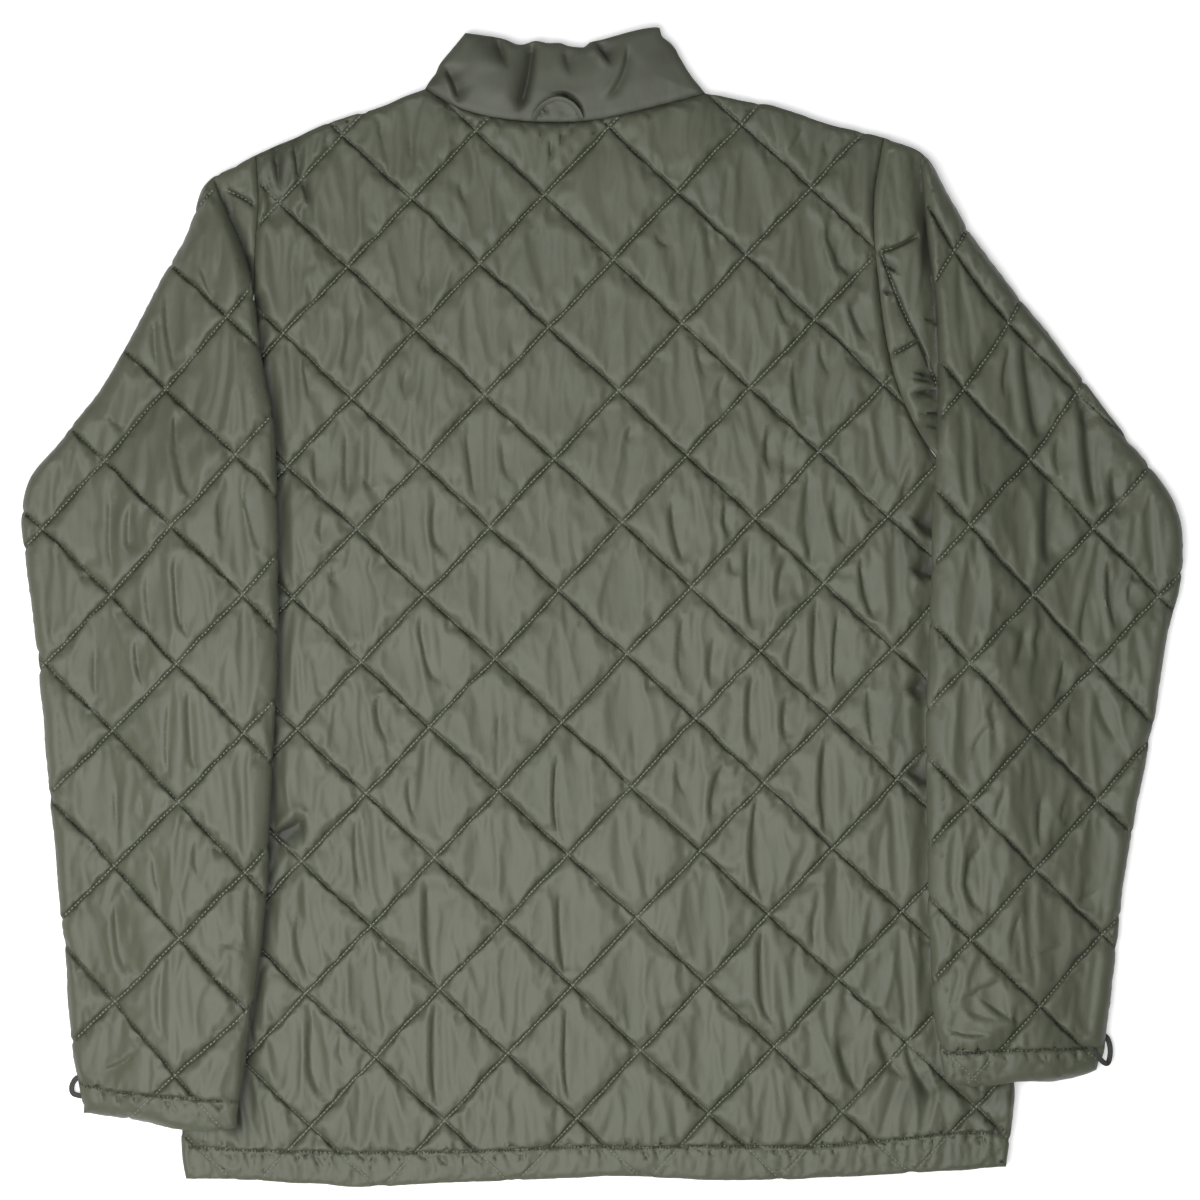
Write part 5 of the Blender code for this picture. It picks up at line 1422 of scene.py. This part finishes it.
# ---- loops and zip ----
def build_neck_loop(collar_top, collar_loop, finish):
    """A narrow folded loop of the shell's cloth that stands out a little from the collar."""
    path = curve(NECK_LOOP_PATH, LOOP_STEP)
    level = collar_top(path, inside(path, collar_loop))
    level = np.maximum(level, np.convolve(np.pad(level, 4, mode="edge"), np.ones(9) / 9, mode="valid"))
    level += NECK_LOOP_GAP + NECK_LOOP_BULGE * np.sin(math.pi * np.linspace(0, 1, len(path))) ** 0.8
    cos, sin = math.cos(NECK_LOOP_TILT), math.sin(NECK_LOOP_TILT)
    profile = np.array(rounded(LOOP_HALF, 0.7, 0.55, y=0.7)) @ np.array(((cos, sin), (-sin, cos)))
    return swept("neck_loop_band", np.column_stack([path, level]), profile + (0, LOOP_HALF * sin), finish)


def build_cuff_loop(name, path, finish):
    path = np.asarray(path, float)
    along = travelled(path[:, :2])
    plan = curve(path[:, :2], LOOP_STEP / 2)
    run = travelled(plan)
    middle = np.column_stack([plan, np.interp(run * along[-1] / run[-1], along, path[:, 2])])
    return swept(name, middle, rounded(LOOP_HALF, 0.65, 0.45, y=0.65), finish)


def blocks(name, centres, size, finish):
    """Many small blocks as one mesh, each with its upper and lower edges drawn in."""
    square = ((-1, -1), (1, -1), (1, 1), (-1, 1))
    corner = np.array([(x, y, z) for z in (-1, -0.6, 0.6, 1) for x, y in square], float)
    corner[np.abs(corner[:, 2]) == 1, :2] *= 0.8
    every = [tuple(16 * k + v for v in face) for k in range(len(centres)) for face in tube_faces(4, 4)]
    points = np.vstack([centre + corner * size for centre in centres])
    return mesh_object(name, points, every, finish, smooth=False)


def zip_middle():
    """Its middle line from the hem to below the slider, in the plan."""
    bottom, waist, collar_end = (np.array(end, float) for end in (FRONT_BOTTOM, FRONT_TOP, COLLAR_FRONT_TOP))
    top = collar_end + (waist - collar_end) * (ZIP_TOP_GAP + SLIDER.y) / (collar_end - waist)[1]
    return np.array([bottom + (0, ZIP_BOTTOM_GAP), waist, top])


def build_zip(tape, metal):
    """The closed zip: a woven tape with two rows of meshing teeth on its outer side, which faces down."""
    run = resampled(zip_middle(), 6.0)
    profile = rounded(ZIP_HALF - ZIP_CLEAR, 0.7, 0.3, y=ZIP_LEVELS[1] + 0.7)
    band = swept("zip_tape", np.column_stack([run, np.zeros(len(run))]), profile, tape)
    run = resampled(zip_middle(), TOOTH_PITCH)
    sides = np.where(np.arange(len(run)) % 2, TOOTH_ASIDE, -TOOTH_ASIDE)
    centres = np.column_stack([run[:, 0] + sides, run[:, 1], np.full(len(run), sum(ZIP_LEVELS) / 2)])
    teeth = blocks("zip_teeth", centres, TOOTH_HALF, tape)

    end = zip_middle()[-1]
    x, y = (end[0] + COLLAR_FRONT_TOP.x) / 2, end[1] + SEAM_GAP + SLIDER.y / 2
    body = plate("zip_slider_body", x, y, SLIDER.x / 2, SLIDER.y / 2, SLIDER_LEVELS, metal, 0.8)
    pull = plate("pull", x, y - PULL.y / 2, PULL.x / 2, PULL.y / 2, PULL_LEVELS, metal)
    hole_levels = (PULL_LEVELS[0] - 1, PULL_LEVELS[1] + 1)
    combine(pull, plate("hole", x, y - PULL.y + HOLE_UP, *HOLE_HALF, hole_levels, None), "DIFFERENCE")
    combine(body, pull, "UNION")
    return band, teeth, body


# ---- sewing ----
def pucker_shadows(name, seam, top, loop, finish):
    """Dark strokes along a topstitched seam, painted shadows of the fine ticks where the thread draws the cloth
    in.
    """
    draw = np.random.default_rng(17)
    run = resampled(seam, PUCKER_SHADOW_PITCH)
    run = run + draw.normal(0, 0.2, run.shape)
    count = len(run)
    starts = run + np.column_stack([draw.normal(-0.1, 0.15, count), draw.uniform(0.3, 1.1, count)])
    ends = run + np.column_stack([draw.normal(0.3, 0.35, count), -draw.uniform(0.5, 1.9, count)])
    kept = draw.random(count) < PUCKER_SHADOWS_KEPT
    radii, raised_by = (np.full(kept.sum(), size) for size in PUCKER_SHADOW_STROKE)
    return strokes(name, starts[kept], ends[kept], radii, raised_by, top, loop, finish)


def stitches(name, runs, top, loop, finish):
    """Short rounded stitches along each (path, radius, height) run, lying in the stitch line's groove."""
    made = []
    for path, radius, height in runs:
        total = np.sum(np.hypot(*np.diff(path, axis=0).T))
        count = int(total // STITCH_PITCH)
        if count < 1:
            continue
        run = resampled(path, total / count)
        step = np.diff(run, axis=0)
        ends = run[:-1] + step * STITCH_SHARE
        made.append((run[:-1], ends, np.full(len(step), radius), np.full(len(step), height)))
    starts, ends, radii, raised_by = (np.concatenate(parts) for parts in zip(*made))
    draw = np.random.default_rng(7)
    starts, ends = (places + draw.normal(0, STITCH_JITTER, places.shape) for places in (starts, ends))
    return strokes(name, starts, ends, radii, raised_by, top, loop, finish)


def strokes(name, starts, ends, radii, raised_by, top, loop, finish):
    """One closed rounded stroke from each start to its end, at its own height over the cloth's top."""
    kept = (inside(starts, loop) > 2.0) & (inside(ends, loop) > 1.0)
    starts, ends, radii, raised_by = (part[kept] for part in (starts, ends, radii, raised_by))
    a, b = (np.column_stack([p, top(p, inside(p, loop)) + raised_by]) for p in (starts, ends))
    along = b - a
    size = np.linalg.norm(along, axis=1)[:, None]
    along /= size
    across = np.column_stack([-along[:, 1], along[:, 0], np.zeros(len(along))])
    across /= np.linalg.norm(across, axis=1)[:, None]
    up = np.cross(along, across)
    points = []
    for share, wide, height in STITCH_STATIONS:
        centre = a + along * size * share + up * height
        for k in range(STITCH_SIDES):
            angle = 2 * math.pi * k / STITCH_SIDES
            points.append(centre + (across * math.cos(angle) + up * math.sin(angle)) * radii[:, None] * wide)
    count = len(points)
    faces = tube_faces(len(STITCH_STATIONS), STITCH_SIDES)
    every = [tuple(base + v for v in face) for base in range(0, len(a) * count, count) for face in faces]
    return mesh_object(name, np.stack(points, axis=1).reshape(-1, 3), every, finish)


def outside(path, bare):
    """The parts of a path where `bare` is false."""
    off = bare(path)
    cuts = np.flatnonzero(off[1:] != off[:-1]) + 1
    return [run for run, skip in zip(np.split(path, cuts), off[[0, *cuts]]) if len(run) > 1 and not skip]


def quilt_runs(lattice, loop, hem_seam, bare=nowhere):
    """Every stitch line of the quilting across the outline's box, pulled in deeper in the hem."""
    (a_low, a_high), (b_low, b_high) = number_range(lattice, loop)
    a_way, b_way = np.arange(a_low, a_high + 0.01, RUN_STEP), np.arange(b_low, b_high + 0.01, RUN_STEP)
    rising = [crossing(lattice, np.full(len(b_way), k), b_way) for k in range(a_low, a_high + 1)]
    falling = [crossing(lattice, a_way, np.full(len(a_way), k)) for k in range(b_low, b_high + 1)]

    def in_hem(path):
        return bare(path) | (above(hem_seam)(path) < 0)

    def past_hem(path):
        return bare(path) | ~in_hem(path)

    runs = [(run, *RISING_STITCH) for path in rising for run in outside(path, in_hem)]
    runs += [(run, *FALLING_STITCH) for path in falling for run in outside(path, in_hem)]
    return runs + [(run, *IN_HEM_STITCH) for path in rising + falling for run in outside(path, past_hem)]


# ---- studio ----
def build_stage():
    corners = [(x * FLOOR_HALF, y * FLOOR_HALF, 0) for x, y in ((-1, -1), (1, -1), (1, 1), (-1, 1))]
    finish, tree, shader, _ = material("pale floor")
    fill(tree, shader, {
        "Base Color": (0.93, 0.93, 0.92, 1), "Emission Color": (1, 1, 1, 1), "Emission Strength": FLOOR_GLOW,
        "Roughness": 0.9, "Specular IOR Level": 0.1,
    })
    floor = mesh_object("floor", corners, [(0, 1, 2, 3)], finish, smooth=False)
    floor.location.z = FLOOR_LEVEL

    world = bpy.data.worlds.new("studio")
    bpy.context.scene.world = world
    world.use_nodes = True
    tree = world.node_tree
    fill(tree, tree.nodes["Background"], {"Color": (0.93, 0.96, 1.0, 1), "Strength": 0.15})

    for name, place, size, power in LAMPS:
        light = bpy.data.lights.new(name, "AREA")
        light.energy, light.size, light.spread = power, size, LIGHT_SPREAD
        lamp = bpy.data.objects.new(name, light)
        lamp.location = place
        lamp.rotation_euler = (-Vector(place)).to_track_quat("-Z", "Y").to_euler()
        bpy.context.scene.collection.objects.link(lamp)
    bpy.context.scene.view_settings.view_transform = "Standard"


def build_camera():
    """Straight above the jacket's middle, nearly; its frame is square."""
    camera = bpy.data.cameras.new("camera")
    camera.sensor_width = 36.0
    camera.lens = camera.sensor_width * CAMERA_AT[2] / FRAME_WIDTH
    view = bpy.data.objects.new("camera", camera)
    view.location = CAMERA_AT
    bpy.context.scene.collection.objects.link(view)
    bpy.context.scene.camera = view


def placed(slot, node, *pieces):
    """Attaches the pieces to the body and hides the CAD node they stand in for; `slot` is not used."""
    for piece in pieces:
        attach(piece, "root")
    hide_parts(node)


def build_side(word, sleeve, cloth, thread, shadowed, tape):
    """A front and a sleeve, with what is sewn on them."""
    front = build_front(f"front_{word}_shell", sleeve, cloth)
    made, loop, top, hidden = build_sleeve(f"sleeve_{word}_shell", sleeve, cloth)
    cuff_seam = curve(sleeve.cuff_seam)
    runs = quilt_runs(sleeve.lattice, loop, cuff_seam, hidden) + [(cuff_seam, *HEM_STITCH)]
    runs += [(curve(path), *CAP_STITCH) for path in sleeve.cap_lines]
    sewing = stitches(f"sleeve_{word}_stitches", runs, top, loop, thread)
    ticks = pucker_shadows(f"cuff_{word}_puckers", cuff_seam, top, loop, shadowed)
    cuff_loop = build_cuff_loop(f"cuff_loop_{word}_tape", sleeve.cuff_loop, tape)
    placed("quilted_shell", f"front_{word}_panel", front)
    placed("quilted_shell", f"sleeve_{word}", made, sewing, ticks)
    placed("tape", f"cuff_loop_{word}", cuff_loop)


def main():
    quilted = nylon("grey-olive nylon", (0.0675, 0.073, 0.0485, 1), (0.088, 0.094, 0.065, 1), 0.5)
    # the same nylon made darker for the collar: painted shade
    plain_cloth = nylon("grey-olive collar nylon", (0.060, 0.0645, 0.046, 1), (0.078, 0.083, 0.060, 1), 0.5)
    # a dark copy of the nylon for the painted shadows along the topstitching
    shadowed = plain("shadowed nylon", (0.026, 0.029, 0.02, 1), 0.6)
    thread = plain("thread", (0.185, 0.2, 0.15, 1), 0.6)
    tape = plain("dark tape", (0.03, 0.033, 0.027, 1), 0.8)
    metal = plain("painted zinc", (0.08, 0.08, 0.075, 1), 0.35, 1.0)

    back, loop, top = build_back(quilted)
    hem_seam = curve(HEM_SEAM)
    runs = quilt_runs(BACK_LATTICE, loop, hem_seam) + [(hem_seam, *HEM_STITCH)]
    sewing = stitches("back_stitches", runs, top, loop, thread)
    ticks = pucker_shadows("hem_pucker_shadows", hem_seam, top, loop, shadowed)
    placed("quilted_shell", "back_panel", back, sewing, ticks)
    zip_tape, zip_teeth, zip_slider = build_zip(tape, metal)
    placed("tape", "zip", zip_tape, zip_teeth)
    placed("zip_metal", "zip_slider", zip_slider)
    build_side("left", LEFT_SLEEVE, quilted, thread, shadowed, tape)
    build_side("right", RIGHT_SLEEVE, quilted, thread, shadowed, tape)
    collar, loop, top = build_collar(plain_cloth)
    neck_loop = build_neck_loop(top, loop, plain_cloth)
    placed("collar_cloth", "collar", collar)
    placed("tape", "neck_loop", neck_loop)
    build_stage()
    build_camera()


main()
